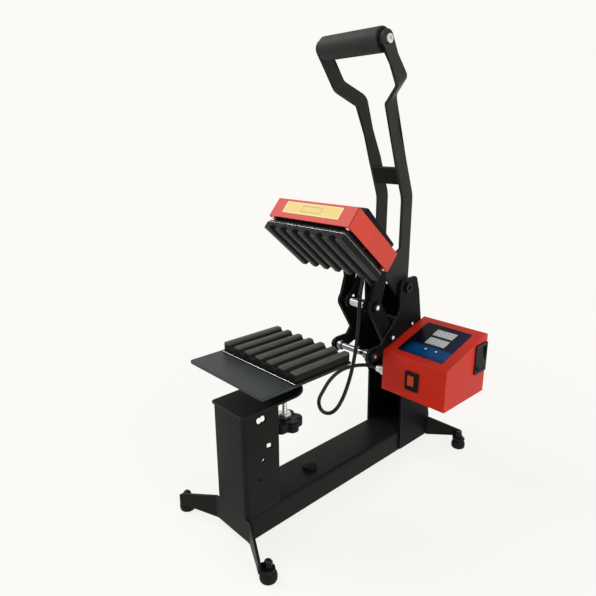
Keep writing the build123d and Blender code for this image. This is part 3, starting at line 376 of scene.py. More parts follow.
@dataclass(frozen=True)
class PowderCoat(Finish):
    """Baked powder paint: fine orange peel with soft patches and fine grit in its tone and gloss."""

    colour: Colour
    roughness: float
    peel: float = 1.3 * MM
    rise: float = 0.035 * MM
    patch: float = 0.12
    sheen: float = 0.24
    cloud: float = 60 * MM
    grit: float = 0.45 * MM
    grit_share: float = 0.3
    cloud_gloss: float = 0.16
    grit_gloss: float = 0.1

    def mix(self, coat: Coat) -> None:
        """Mix the paint.

        Args:
            coat: The material in work.
        """
        peel = coat.noise(self.peel)
        cloud = coat.noise(self.cloud)
        grit = coat.noise(self.grit, 1.0)
        light = tuple(min(1.0, c * (1 + self.patch) + 0.001) for c in self.colour)
        dark = tuple(c * (1 - self.patch) for c in self.colour)
        tone = cloud.ramp(0.3, 0.7) * (1 - self.grit_share) + grit.ramp(0.35, 0.75) * self.grit_share
        gloss = (cloud - 0.5) * self.cloud_gloss + (grit - 0.5) * self.grit_gloss
        coat.finish(
            Base_Color=self.drawn_on(coat, coat.mix(tone, dark, light)),
            Roughness=gloss + self.roughness,
            Normal=coat.bump(peel, self.rise),
            Specular_IOR_Level=self.sheen,
        )

    def drawn_on(self, coat: Coat, paint: Socket) -> Socket:
        """The paint's colour as it is; a finish made from this one may draw on it."""
        return paint


@dataclass(frozen=True)
class CoverPaint(PowderCoat):
    """The head cover's red paint, dark along the two front corners where the folded sheet meets."""

    half: float = 61.7
    front: float = -123.0
    level: float = 230.0
    seam: Colour = (0.07, 0.006, 0.004)
    seam_fade: Spot = (0.85, 0.6)

    def drawn_on(self, coat: Coat, paint: Socket) -> Socket:
        """Draw the two corner seams.

        Args:
            coat: The material in work.
            paint: The paint's colour.

        Returns:
            The colour with the seams.
        """
        middle = at(0.0, *turned_about_head(self.front, self.level))
        wide = abs(coat.along(RIGHTWARDS, middle))
        depth = coat.along(HEAD_BACK, middle)
        far, near = self.seam_fade
        line = wide.ramp((self.half - far) * MM, (self.half - near) * MM) * depth.ramp(far * MM, near * MM)
        return coat.mix(line, paint, self.seam)


@dataclass(frozen=True)
class BareMetal(Finish):
    """Plated or bare metal with fine machining streaks and dull patches."""

    colour: Colour
    roughness: float
    streak: Sequence[float] = (1.0, 1.0, 1.0)
    grain: float = 0.5 * MM
    dull: float = 0.08
    cloud: float = 9 * MM
    tarnish: float = 0.78
    tarnish_share: float = 0.6
    streak_gloss: float = 0.18
    streak_rise: float = 0.01 * MM
    streak_strength: float = 0.6

    def mix(self, coat: Coat) -> None:
        """Mix the metal.

        Args:
            coat: The material in work.
        """
        lines = coat.noise(self.grain, 3.0, self.streak)
        cloud = coat.noise(self.cloud)
        dark = tuple(c * self.tarnish for c in self.colour)
        gloss = (lines - 0.5) * self.streak_gloss + cloud.ramp(0.4, 0.8) * self.dull
        coat.finish(
            Base_Color=coat.mix(cloud.ramp(0.35, 0.75) * self.tarnish_share, self.colour, dark),
            Metallic=1.0,
            Roughness=gloss + self.roughness,
            Normal=coat.bump(lines, self.streak_rise, self.streak_strength),
        )


@dataclass(frozen=True)
class Moulded(Finish):
    """Moulded plastic or rubber with a fine grain and rubbed high spots."""

    colour: Colour
    roughness: float
    grain: float = 0.5 * MM
    rise: float = 0.02 * MM
    rubbed: float = 0.25
    sheen: float = 0.25
    cloud: float = 14 * MM
    cloud_gloss: float = 0.15

    def mix(self, coat: Coat) -> None:
        """Mix the plastic.

        Args:
            coat: The material in work.
        """
        grain = coat.noise(self.grain)
        cloud = coat.noise(self.cloud, 3.0)
        pale = tuple(c * (1 + self.rubbed) + 0.001 for c in self.colour)
        coat.finish(
            Base_Color=coat.mix(cloud.ramp(0.4, 0.8), self.colour, pale),
            Roughness=(cloud - 0.5) * self.cloud_gloss + self.roughness,
            Normal=coat.bump(grain, self.rise),
            Specular_IOR_Level=self.sheen,
        )


@dataclass(frozen=True)
class PadRubber(Finish):
    """Heat-proof silicone of the pads: painted shade in the grooves and a painted highlight on the rib
    crowns, broken up by a streaky rubbed-wear noise.
    """

    # The groove colour is painted shade, below the rib crowns and on the pad's front face; the crown colour
    # is a painted highlight
    groove: Colour = (0.003, 0.003, 0.003)
    crown_highlight: Colour = (0.070, 0.069, 0.061)
    roughness: float = 0.62
    crown_levels: Spot = (0.74, 0.87)
    grain: float = 0.7 * MM
    grain_rise: float = 0.05 * MM
    rub: float = 7 * MM
    rub_stretch: Sequence[float] = (1.0, 0.25, 1.0)
    rub_share: float = 0.25
    crown_gloss: float = 0.1
    grain_gloss: float = 0.2
    sheen: float = 0.15

    def mix(self, coat: Coat) -> None:
        """Mix the silicone.

        Args:
            coat: The material in work.
        """
        grain = coat.noise(self.grain, 3.0)
        rub = coat.noise(self.rub, 3.0, self.rub_stretch).ramp(0.3, 0.75)
        # Painted highlight on the rib crowns by their height, varied by the rubbed-wear noise; painted shade
        # below them
        crown_highlight = coat.attribute("rib").ramp(*self.crown_levels) * (rub * self.rub_share + (1 - self.rub_share))
        coat.finish(
            Base_Color=coat.mix(crown_highlight, self.groove, self.crown_highlight),
            Roughness=self.roughness - crown_highlight * self.crown_gloss + (grain - 0.5) * self.grain_gloss,
            Normal=coat.bump(grain, self.grain_rise),
            Specular_IOR_Level=self.sheen,
        )


@dataclass(frozen=True)
class PanelFilm(Finish):
    """Glossy printed film on the control panel: black above, a blue band below, navy at the right.

    Each fade is a pair of distances from the panel's lower left corner, in millimetres.
    """

    black: Colour = (0.003, 0.004, 0.008)
    navy: Colour = (0.004, 0.012, 0.045)
    blue: Colour = (0.002, 0.058, 0.185)
    band_top: Spot = (35.0, 29.0)
    band_left: Spot = (15.0, 36.0)
    navy_left: Spot = (60.0, 74.0)
    rim_top: Spot = (20.0, 12.0)
    rim_share: float = 0.5
    ripple: float = 18 * MM
    ripple_rise: float = 0.05 * MM
    ripple_gloss: float = 0.08
    roughness: float = 0.22
    sheen: float = 0.06

    def mix(self, coat: Coat) -> None:
        """Mix the film.

        Args:
            coat: The material in work.
        """
        corner = at(*PANEL_CORNER)
        right = coat.along(RIGHTWARDS, corner) / MM
        up = coat.along(PANEL_UP, corner) / MM
        band = up.ramp(*self.band_top) * right.ramp(*self.band_left)
        base = coat.mix(right.ramp(*self.navy_left), self.black, self.navy)
        rim = up.ramp(*self.rim_top) * self.rim_share
        wave = coat.noise(self.ripple, 1.0)
        coat.finish(
            Base_Color=coat.mix(rim, coat.mix(band, base, self.blue), self.navy),
            Roughness=(wave - 0.5) * self.ripple_gloss + self.roughness,
            Normal=coat.bump(wave, self.ripple_rise),
            Specular_IOR_Level=self.sheen,
        )


@dataclass(frozen=True)
class DisplayGlass(Finish):
    """Unlit display window: pale grey filter with a faint cloud under the film."""

    colour: Colour = (0.42, 0.44, 0.45)
    cloud: float = 2.2 * MM
    cloud_gloss: float = 0.1
    shade: float = 0.72
    roughness: float = 0.2

    def mix(self, coat: Coat) -> None:
        """Mix the window.

        Args:
            coat: The material in work.
        """
        cloud = coat.noise(self.cloud)
        shaded = tuple(c * self.shade for c in self.colour)
        coat.finish(
            Base_Color=coat.mix(cloud.ramp(0.35, 0.7), self.colour, shaded),
            Roughness=(cloud - 0.5) * self.cloud_gloss + self.roughness,
        )


@dataclass(frozen=True)
class KeyWithPaintedGlow(Finish):
    """Blue key cap with a small pale spot in its middle, on which a faint glow is painted."""

    rim: Colour = (0.004, 0.060, 0.170)
    colour: Colour = (0.30, 0.62, 0.75)
    # Colour and strength of the glow painted on the keys' pale spots
    glow: Colour = (0.30, 0.65, 0.85)
    strength: float = 0.16
    cloud: float = 1.5 * MM
    cloud_gloss: float = 0.1
    roughness: float = 0.25
    sheen: float = 0.1
    spots: Sequence[Spot] = ((45.9, 25.4), (60.3, 25.4))
    spot_fade: Spot = (1.9, 1.1)

    def mix(self, coat: Coat) -> None:
        """Mix the key.

        Args:
            coat: The material in work.
        """
        cloud = coat.noise(self.cloud, 1.0)
        near = []
        for right, up in self.spots:
            middle = at(*PANEL_CORNER) + Vector((right * MM, 0.0, 0.0)) + PANEL_UP * (up * MM)
            reach = coat.along(RIGHTWARDS, middle).reach(coat.along(PANEL_UP, middle)) / MM
            near.append(reach.ramp(*self.spot_fade))
        spot = near[0] + near[1]
        coat.finish(
            Base_Color=coat.mix(spot, self.rim, self.colour),
            Roughness=(cloud - 0.5) * self.cloud_gloss + self.roughness,
            # Painted glow on the pale spot
            Emission_Color=coat.mix(spot, (0.0, 0.0, 0.0), self.glow),
            Emission_Strength=self.strength,
            Specular_IOR_Level=self.sheen,
        )


@dataclass(frozen=True)
class LabelFilm(Finish):
    """Blank yellow film label with a paler border and an empty ruled box in its middle."""

    yellow: Colour = (0.62, 0.42, 0.055)
    pale: Colour = (0.70, 0.55, 0.19)
    rule: Colour = (0.09, 0.06, 0.02)
    middle: Spot = (-123.5, 237.9)
    border_side: Spot = (41.2, 41.6)
    border_top: Spot = (5.9, 6.3)
    box_half: Spot = (15.0, 3.9)
    box_line: float = 0.8
    box_share: float = 0.75
    scuff: float = 3 * MM
    scuff_share: float = 0.5
    scuff_gloss: float = 0.2
    roughness: float = 0.38

    def mix(self, coat: Coat) -> None:
        """Mix the label.

        Args:
            coat: The material in work.
        """
        middle = at(0.0, *turned_about_head(*self.middle))
        across = abs(coat.along(RIGHTWARDS, middle)) / MM
        up = abs(coat.along(HEAD_UP, middle)) / MM
        edge = across.ramp(*self.border_side).larger(up.ramp(*self.border_top))
        wide, tall = self.box_half
        outer = across.below(wide) * up.below(tall)
        inner = across.below(wide - self.box_line) * up.below(tall - self.box_line)
        scuff = coat.noise(self.scuff, 3.0)
        rubbed = coat.mix(scuff.ramp(0.4, 0.8) * self.scuff_share, self.yellow, self.pale)
        film = coat.mix(edge, rubbed, self.pale)
        coat.finish(
            Base_Color=coat.mix((outer - inner) * self.box_share, film, self.rule),
            Roughness=(scuff - 0.5) * self.scuff_gloss + self.roughness,
        )


@dataclass(frozen=True)
class Ground(Finish):
    """Pale floor that looks even to the camera and still takes a faint shadow."""

    colour: Colour = PAPER
    even: float = 0.86
    fade: Spot = (0.22, 0.75)
    roughness: float = 0.9

    def mix(self, coat: Coat) -> None:
        """Mix the floor.

        Args:
            coat: The material in work.
        """
        length = coat.node("ShaderNodeVectorMath", {"operation": "LENGTH"}, {0: coat.place})
        reach = Value(coat.tree, length.outputs["Value"])
        share = reach.ramp(*self.fade) * (1.0 - self.even) + self.even
        glow = coat.out("ShaderNodeEmission", None, {"Color": (*self.colour, 1.0), "Strength": 1.0})
        coat.finish(Base_Color=self.colour, Roughness=self.roughness)
        ends = {0: coat.seen() * share, 1: coat.shader.outputs[0], 2: glow}
        blend = coat.out("ShaderNodeMixShader", None, ends)
        coat.tree.links.new(blend, coat.output.inputs["Surface"])


class Look(Enum):
    """The finishes of the press."""

    BLACK_STEEL = "black_powder_coat"
    BLACK_EDGE_HIGHLIGHT = "black_powder_coat_edge"
    SHADED_BLACK_STEEL = "deep_black_powder_coat"
    LIT_BAR_STEEL = "handle_powder_coat"
    SHADED_ALUMINIUM = "dull_aluminium"
    RED_STEEL = "red_powder_coat"
    RED_EDGE_HIGHLIGHT = "red_powder_coat_edge"
    COVER = "head_cover_paint"
    LIT_PLATE_STEEL = "plate_powder_coat"
    ZINC = "bright_zinc"
    CHROME = "chrome_shaft"
    TIE = "dark_plated_rod"
    ALUMINIUM = "milled_aluminium"
    RUBBER = "foot_rubber"
    GRIP = "foam_grip"
    PAD = "pad_silicone"
    UPPER_PAD = "upper_pad_silicone"
    PLASTIC = "black_plastic"
    SHEATH = "lead_sheath"
    FILM = "panel_film"
    WINDOW = "display_window"
    SEGMENT = "display_segment"
    KEY = "lit_key"
    LENS = "red_lens"
    LABEL = "blank_label"
    WOOL = "mineral_wool"
    BOARD = "circuit_board"
    BOLT = "black_bolt"
    FLOOR = "studio_floor"


FINE_PEEL = {"peel": 1.0 * MM, "patch": 0.08}
DRAWN_ROD = {"streak": (6.0, 1.0, 1.0), "dull": 0.04}
MILLED = (0.15, 1.0, 1.0)

MIXES = {
    Look.BLACK_STEEL: PowderCoat((0.0065, 0.0065, 0.006), 0.46, sheen=0.085),
    # Lighter copy of the black paint for the broken edges: a painted edge highlight
    Look.BLACK_EDGE_HIGHLIGHT: PowderCoat((0.014, 0.014, 0.014), 0.38, sheen=0.2),
    # A darker copy of the black paint, as painted shade
    Look.SHADED_BLACK_STEEL: PowderCoat((0.0045, 0.005, 0.0055), 0.44, sheen=0.05),
    # A lighter copy of the black paint for the handle's arms, as painted light; the crossbar keeps the plain
    # black
    Look.LIT_BAR_STEEL: PowderCoat((0.0165, 0.0160, 0.0145), 0.46, sheen=0.16),
    Look.RED_STEEL: PowderCoat((0.53, 0.020, 0.007), 0.40, rise=0.025 * MM, sheen=0.17, **FINE_PEEL),
    # Lighter copy of the red paint for the broken edges: a painted edge highlight
    Look.RED_EDGE_HIGHLIGHT: PowderCoat((0.58, 0.045, 0.022), 0.34, rise=0.02 * MM, sheen=0.3, **FINE_PEEL),
    # The cover's red is paler than the box's: a painted sheen
    Look.COVER: CoverPaint((0.55, 0.050, 0.032), 0.42, rise=0.025 * MM, sheen=0.22, **FINE_PEEL),
    # A lighter copy of the black paint for the lower plate, as a painted sheen on its top
    Look.LIT_PLATE_STEEL: PowderCoat((0.024, 0.028, 0.029), 0.46),
    Look.ZINC: BareMetal((0.74, 0.74, 0.73), 0.34),
    Look.CHROME: BareMetal((0.50, 0.50, 0.51), 0.12, **DRAWN_ROD),
    Look.TIE: BareMetal((0.17, 0.17, 0.18), 0.14, **DRAWN_ROD),
    # Bright aluminium, used only on the rims of the shaded aluminium as a painted highlight
    Look.ALUMINIUM: BareMetal((0.80, 0.79, 0.77), 0.32, streak=MILLED),
    # Aluminium painted dark as shade; the bright aluminium above is its lit copy
    Look.SHADED_ALUMINIUM: BareMetal((0.030, 0.027, 0.025), 0.55, streak=MILLED),
    Look.RUBBER: Moulded((0.0045, 0.0045, 0.0045), 0.62, grain=0.8 * MM, sheen=0.12),
    Look.GRIP: Moulded((0.013, 0.012, 0.0105), 0.62, grain=0.6 * MM, rise=0.05 * MM),
    Look.PAD: PadRubber(),
    # The upper pad is a shaded copy of the same silicone: its painted crown highlight is dimmer, as painted
    # shade
    Look.UPPER_PAD: PadRubber(crown_highlight=(0.038, 0.039, 0.036)),
    Look.PLASTIC: Moulded((0.0035, 0.0035, 0.0038), 0.36, sheen=0.12),
    Look.SHEATH: Moulded((0.004, 0.004, 0.004), 0.40, grain=1.2 * MM, rise=0.012 * MM, sheen=0.2),
    Look.FILM: PanelFilm(),
    Look.WINDOW: DisplayGlass(),
    Look.SEGMENT: Moulded((0.66, 0.66, 0.64), 0.3, grain=1.0 * MM, rise=0.002 * MM),
    Look.KEY: KeyWithPaintedGlow(),
    Look.LENS: Moulded((0.50, 0.045, 0.018), 0.3, sheen=0.15),
    Look.LABEL: LabelFilm(),
    Look.WOOL: Moulded((0.62, 0.60, 0.55), 0.95, grain=0.7 * MM, rise=0.3 * MM),
    Look.BOARD: Moulded((0.010, 0.085, 0.035), 0.4, grain=2.0 * MM),
    Look.BOLT: BareMetal((0.020, 0.020, 0.021), 0.42),
    Look.FLOOR: Ground(),
}


@dataclass
class PaintShop:
    """Makes each material once and hands it out."""

    made: dict[Look, Material] = field(default_factory=dict)

    def get(self, look: Look) -> Material:
        """The material of a finish."""
        if look not in self.made:
            self.made[look] = MIXES[look].build(look.value)
        return self.made[look]


SHOP = PaintShop()


def turned_about_head(y: float, z: float, degrees: float = HEAD_OPEN) -> Spot:
    """Turn a point about the head's bolts, from Y towards Z.

    Args:
        y: The point in machine millimetres.
        z: The same.
        degrees: The angle; the one left out opens the head.

    Returns:
        The turned point.
    """
    a = math.radians(degrees)
    dy, dz = y - HEAD_BOLTS[0], z - HEAD_BOLTS[1]
    return (
        HEAD_BOLTS[0] + dy * math.cos(a) - dz * math.sin(a),
        HEAD_BOLTS[1] + dy * math.sin(a) + dz * math.cos(a),
    )


def head_closed(place: Vector) -> Spot:
    """Where a spot of the open head lies with the head closed, as Y and Z in machine millimetres."""
    local = machine(place)
    return turned_about_head(local.y, local.z, -HEAD_OPEN)


def head_matrix(move: Matrix) -> Matrix:
    """Take a piece drawn about the machine's origin, in metres, to its place on the open head.

    Args:
        move: Its place with the head closed, in machine metres.

    Returns:
        The matrix to the frame.
    """
    bolts = Vector((0.0, *HEAD_BOLTS)) * MM
    opened = Matrix.Rotation(math.radians(HEAD_OPEN), 4, "X")
    turn = Matrix.Translation(bolts) @ opened @ Matrix.Translation(-bolts)
    return Matrix.Translation(SHIFT * MM) @ turn @ move


def body_of_node(node: str) -> str:
    """The body that a node of the model rides on."""
    for body, names in frame["record"]["behaviour"]["bodies"].items():
        if node in names:
            return body
    raise ValueError(node)


def slot_of_node(node: str) -> str:
    """The record's finish slot of a node."""
    for part in frame["record"]["subparts"]:
        if part["node"] == node:
            return part["material_slot"]
    raise ValueError(node)


def link_mesh(name: str, mesh: Mesh) -> Piece:
    """Put a mesh in the scene as a piece.

    Args:
        name: The piece's name.
        mesh: Its mesh, in the frame's metres.

    Returns:
        The piece.
    """
    piece = bpy.data.objects.new(name, mesh)
    bpy.context.scene.collection.objects.link(piece)
    return piece


def baked(piece: Piece) -> Piece:
    """Turn a piece with modifiers into a plain mesh.

    Args:
        piece: The piece; its modifiers are removed.

    Returns:
        The same piece.
    """
    bpy.context.view_layer.update()
    graph = bpy.context.evaluated_depsgraph_get()
    whole = piece.evaluated_get(graph)
    mesh = bpy.data.meshes.new_from_object(whole, preserve_all_data_layers=True, depsgraph=graph)
    piece.modifiers.clear()
    piece.data = mesh
    return piece


def smooth(piece: Piece, degrees: float = 35.0) -> Piece:
    """Shade a piece smooth, with sharp edges where its faces turn by more than an angle.

    Args:
        piece: The piece.
        degrees: The angle.

    Returns:
        The same piece.
    """
    mesh = piece.data
    mesh.polygons.foreach_set("use_smooth", [True] * len(mesh.polygons))
    mesh.set_sharp_from_angle(angle=math.radians(degrees))
    return piece


def turned_out(piece: Piece, merge: float = 0.001) -> Piece:
    """Merge points of a piece that nearly coincide and turn its faces outwards.

    Args:
        piece: The piece.
        merge: How near two points lie that become one, in millimetres.

    Returns:
        The same piece.
    """
    work = bmesh.new()
    work.from_mesh(piece.data)
    bmesh.ops.remove_doubles(work, verts=work.verts, dist=merge * MM)
    bmesh.ops.dissolve_degenerate(work, dist=merge * MM, edges=work.edges)
    bmesh.ops.recalc_face_normals(work, faces=work.faces)
    work.to_mesh(piece.data)
    work.free()
    return piece


def hand_over(piece: Piece, body: str, slot: str, *nodes: str) -> Piece:
    """Put a finished piece on its body.

    Args:
        piece: The piece.
        body: The body it rides on.
        slot: The record's finish slot; not used.
        nodes: The model's nodes that it stands for.

    Returns:
        The same piece.
    """
    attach(piece, body)
    if nodes:
        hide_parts(*nodes)
    LOG.info("piece %s rides on %s", piece.name, body)
    return piece


def piece_of(name: str, work: Work, *looks: Look) -> Piece:
    """Close a mesh in work and put it in the scene.

    Args:
        name: The piece's name.
        work: The mesh in work.
        looks: Its finishes, in the order of its faces' material numbers.

    Returns:
        The piece.
    """
    mesh = bpy.data.meshes.new(name)
    work.to_mesh(mesh)
    work.free()
    for look in looks:
        mesh.materials.append(SHOP.get(look))
    return link_mesh(name, mesh)


def joined(name: str, pieces: Sequence[Piece]) -> Piece:
    """Put several pieces into one mesh, which gets the first material slot of the first piece.

    Args:
        name: The new piece's name.
        pieces: The pieces; they are used up.

    Returns:
        The piece.
    """
    work = bmesh.new()
    for piece in pieces:
        work.from_mesh(piece.data)
    material = pieces[0].data.materials[0]
    for piece in pieces:
        bpy.data.objects.remove(piece)
    whole = piece_of(name, work)
    whole.data.materials.append(material)
    return whole


def loose_points(name: str, points: Sequence[Sequence[float]]) -> Mesh:
    """A mesh of loose points, in the frame's metres, for a rule to seat things on."""
    mesh = bpy.data.meshes.new(name)
    mesh.from_pydata([tuple(p) for p in points], [], [])
    return mesh


def cut_across(work: Work, spot: Vector, way: Sequence[float], clear: bool = False) -> None:
    """Cut the faces of a mesh in work along a plane.

    Args:
        work: The mesh in work.
        spot: A point of the plane.
        way: The way that the plane faces.
        clear: Whether what lies before the plane is taken away.
    """
    every = [*work.verts, *work.edges, *work.faces]
    bmesh.ops.bisect_plane(work, geom=every, dist=1e-6, plane_co=spot, plane_no=way, clear_outer=clear)


def bridged(work: Work, rings: Sequence[Sequence[Vector]]) -> list[list[bmesh.types.BMVert]]:
    """Draw closed rings of points and the bands of faces between them.

    Args:
        work: The mesh in work.
        rings: The rings, each with as many points as the next.

    Returns:
        The rings' corners in the mesh.
    """
    loops = [[work.verts.new(point) for point in ring] for ring in rings]
    for low, high in zip(loops, loops[1:]):
        for k in range(len(low)):
            n = (k + 1) % len(low)
            work.faces.new((low[k], low[n], high[n], high[k]))
    return loops


@dataclass
class Softened:
    """A node of the model with its sharp edges broken, as folded and painted steel has them.

    The width is the bevel's, in millimetres. Faces that turn by less than the flat angle become
    one, and edges that turn by more than the sharp angle are broken, both in degrees.
    """

    node: str
    look: Look
    # The edge look, where one is given, paints a highlight on the broken edges
    edge: Optional[Look] = None
    width: float = 0.45
    steps: int = 2
    # Picks the broken edges that keep the painted highlight; the others go back to the main look
    highlit_edge: Optional[Callable[[Vector, Vector], bool]] = None
    reshape: Optional[Reshape] = None
    same_point: float = 2e-6
    flat: float = 1.2
    sharp: float = 38.0

    def merged(self) -> Mesh:
        """Copy the node's mesh, merge its loose triangles and reshape it.

        Returns:
            The mesh with its finishes.
        """
        mesh = frame["nodes"][self.node].data.copy()
        work = bmesh.new()
        work.from_mesh(mesh)
        bmesh.ops.remove_doubles(work, verts=work.verts, dist=self.same_point)
        flat = math.radians(self.flat)
        bmesh.ops.dissolve_limit(
            work, angle_limit=flat, use_dissolve_boundaries=False, verts=work.verts, edges=work.edges
        )
        for face in work.faces:
            face.material_index = 0
        if self.reshape is not None:
            self.reshape(work)
        work.to_mesh(mesh)
        work.free()
        stale = ("custom_normal", "sharp_face", "sharp_edge")
        for name in [a.name for a in mesh.attributes if a.name in stale]:
            mesh.attributes.remove(mesh.attributes[name])
        mesh.materials.clear()
        for look in (self.look, self.edge or self.look):
            mesh.materials.append(SHOP.get(look))
        mesh.polygons.foreach_set("use_smooth", [True] * len(mesh.polygons))
        return mesh

    def build(self) -> Piece:
        """Merge the node, break its edges and dress it.

        Returns:
            The piece that stands for the node.
        """
        piece = link_mesh(self.node + "_finished", self.merged())
        bevel = piece.modifiers.new("edge", "BEVEL")
        bevel.width = self.width * MM
        bevel.segments = self.steps
        bevel.limit_method = "ANGLE"
        bevel.angle_limit = math.radians(self.sharp)
        bevel.use_clamp_overlap = True
        bevel.miter_outer = "MITER_ARC"
        bevel.harden_normals = True
        # The bevel's faces take the edge look, the painted edge highlight
        bevel.material = 1 if self.edge else -1
        baked(piece)
        # Edges that the test does not pick lose the painted highlight
        if self.highlit_edge is not None:
            for face in piece.data.polygons:
                if face.material_index == 1 and not self.highlit_edge(face.center, face.normal):
                    face.material_index = 0
        return hand_over(piece, body_of_node(self.node), slot_of_node(self.node), self.node)


def dress(node: str, look: Look) -> None:
    """Give a node of the model its finish.

    Args:
        node: The node's name.
        look: The finish.
    """
    piece = frame["nodes"][node]
    if not piece.material_slots:
        piece.data.materials.append(SHOP.get(look))
    for slot in piece.material_slots:
        slot.material = SHOP.get(look)
    LOG.info("node %s gets %s", node, look.value)


class Rule(Network):
    """One Geometry Nodes tree while it is being built."""

    KINDS = {float: "NodeSocketFloat", int: "NodeSocketInt", tuple: "NodeSocketVector"}

    def __init__(self, name: str, sizes: Mapping[str, object], look: Look) -> None:
        """Start a tree.

        Args:
            name: The tree's name.
            sizes: Its named inputs with their values.
            look: The finish of what it makes.
        """
        super().__init__(bpy.data.node_groups.new(name, "GeometryNodeTree"))
        self.name = name
        self.sizes = sizes
        self.look = look
        self.tree.interface.new_socket("Geometry", in_out="INPUT", socket_type="NodeSocketGeometry")
        for key, value in sizes.items():
            self.tree.interface.new_socket(key, in_out="INPUT", socket_type=self.KINDS[type(value)])
        self.tree.interface.new_socket("Geometry", in_out="OUTPUT", socket_type="NodeSocketGeometry")
        self.entry = self.tree.nodes.new("NodeGroupInput")
        self.exit = self.tree.nodes.new("NodeGroupOutput")

    def size(self, name: str) -> Value:
        """A named input as a value."""
        return Value(self.tree, self.entry.outputs[name])

    def index(self) -> Value:
        """The number of each point."""
        return Value(self.tree, self.out("GeometryNodeInputIndex"))

    def vector(self, x: Term = 0.0, y: Term = 0.0, z: Term = 0.0) -> Socket:
        """A vector from three numbers or values."""
        return self.out("ShaderNodeCombineXYZ", None, {0: x, 1: y, 2: z})

    def place(self) -> list[Value]:
        """The three coordinates of each point."""
        split = self.node("ShaderNodeSeparateXYZ", None, {0: self.out("GeometryNodeInputPosition")})
        return [Value(self.tree, socket) for socket in split.outputs]

    def join(self, *shapes: Socket) -> Socket:
        """Several shapes as one."""
        node = self.node("GeometryNodeJoinGeometry")
        for shape in shapes:
            self.tree.links.new(shape, node.inputs[0])
        return node.outputs[0]

    def drum(self, sides: int, radius: Term, depth: Term) -> Socket:
        """A closed cylinder with its foot on the origin's level.

        Args:
            sides: How many sides it has.
            radius: Its radius to the corners.
            depth: Its height.

        Returns:
            The shape.
        """
        sizes = {"Vertices": sides, "Radius": radius, "Depth": depth}
        shape = self.out("GeometryNodeMeshCylinder", {"fill_type": "NGON"}, sizes)
        return self.raised(shape, depth * 0.5)

    def raised(self, shape: Socket, height: Term, scale: Term = None) -> Socket:
        """Scale a shape about the origin, where asked, and lift it along Z."""
        sizes = {"Geometry": shape, "Translation": self.vector(z=height), "Scale": scale}
        return self.out("GeometryNodeTransform", None, sizes)

    def moved(self, shape: Socket, spots: Socket) -> Socket:
        """Put each point of a shape on a spot of its own."""
        return self.out("GeometryNodeSetPosition", None, {"Geometry": shape, "Position": spots})

    def seated(self, shape: Socket, turn: Term = None) -> Socket:
        """A shape on each point of the mesh that the tree starts from, turned where asked."""
        seats = {"Points": self.entry.outputs[0], "Instance": shape, "Rotation": turn}
        return self.out("GeometryNodeInstanceOnPoints", None, seats)

    def make(self, name: str, shape: Socket, source: Optional[Mesh] = None) -> Piece:
        """Close the tree, run it and give its result as a plain mesh.

        Args:
            name: The piece's name.
            shape: The geometry to hand out.
            source: The mesh that the tree starts from, if any.

        Returns:
            The piece.
        """
        real = self.out("GeometryNodeRealizeInstances", None, {0: shape})
        coated = {"Geometry": real, "Material": SHOP.get(self.look)}
        self.tree.links.new(self.out("GeometryNodeSetMaterial", None, coated), self.exit.inputs[0])
        piece = link_mesh(name, source or bpy.data.meshes.new(name))
        modifier = piece.modifiers.new(self.name, "NODES")
        modifier.node_group = self.tree
        for item in self.tree.interface.items_tree:
            if item.item_type == "SOCKET" and item.in_out == "INPUT" and item.name in self.sizes:
                modifier[item.identifier] = self.sizes[item.name]
        return baked(piece)


def settle(piece: Piece, move: Matrix) -> Piece:
    """Move a piece's mesh to its place and leave its object at the origin.

    Args:
        piece: The piece.
        move: The matrix to apply.

    Returns:
        The same piece.
    """
    piece.data.transform(move)
    piece.data.update()
    return piece


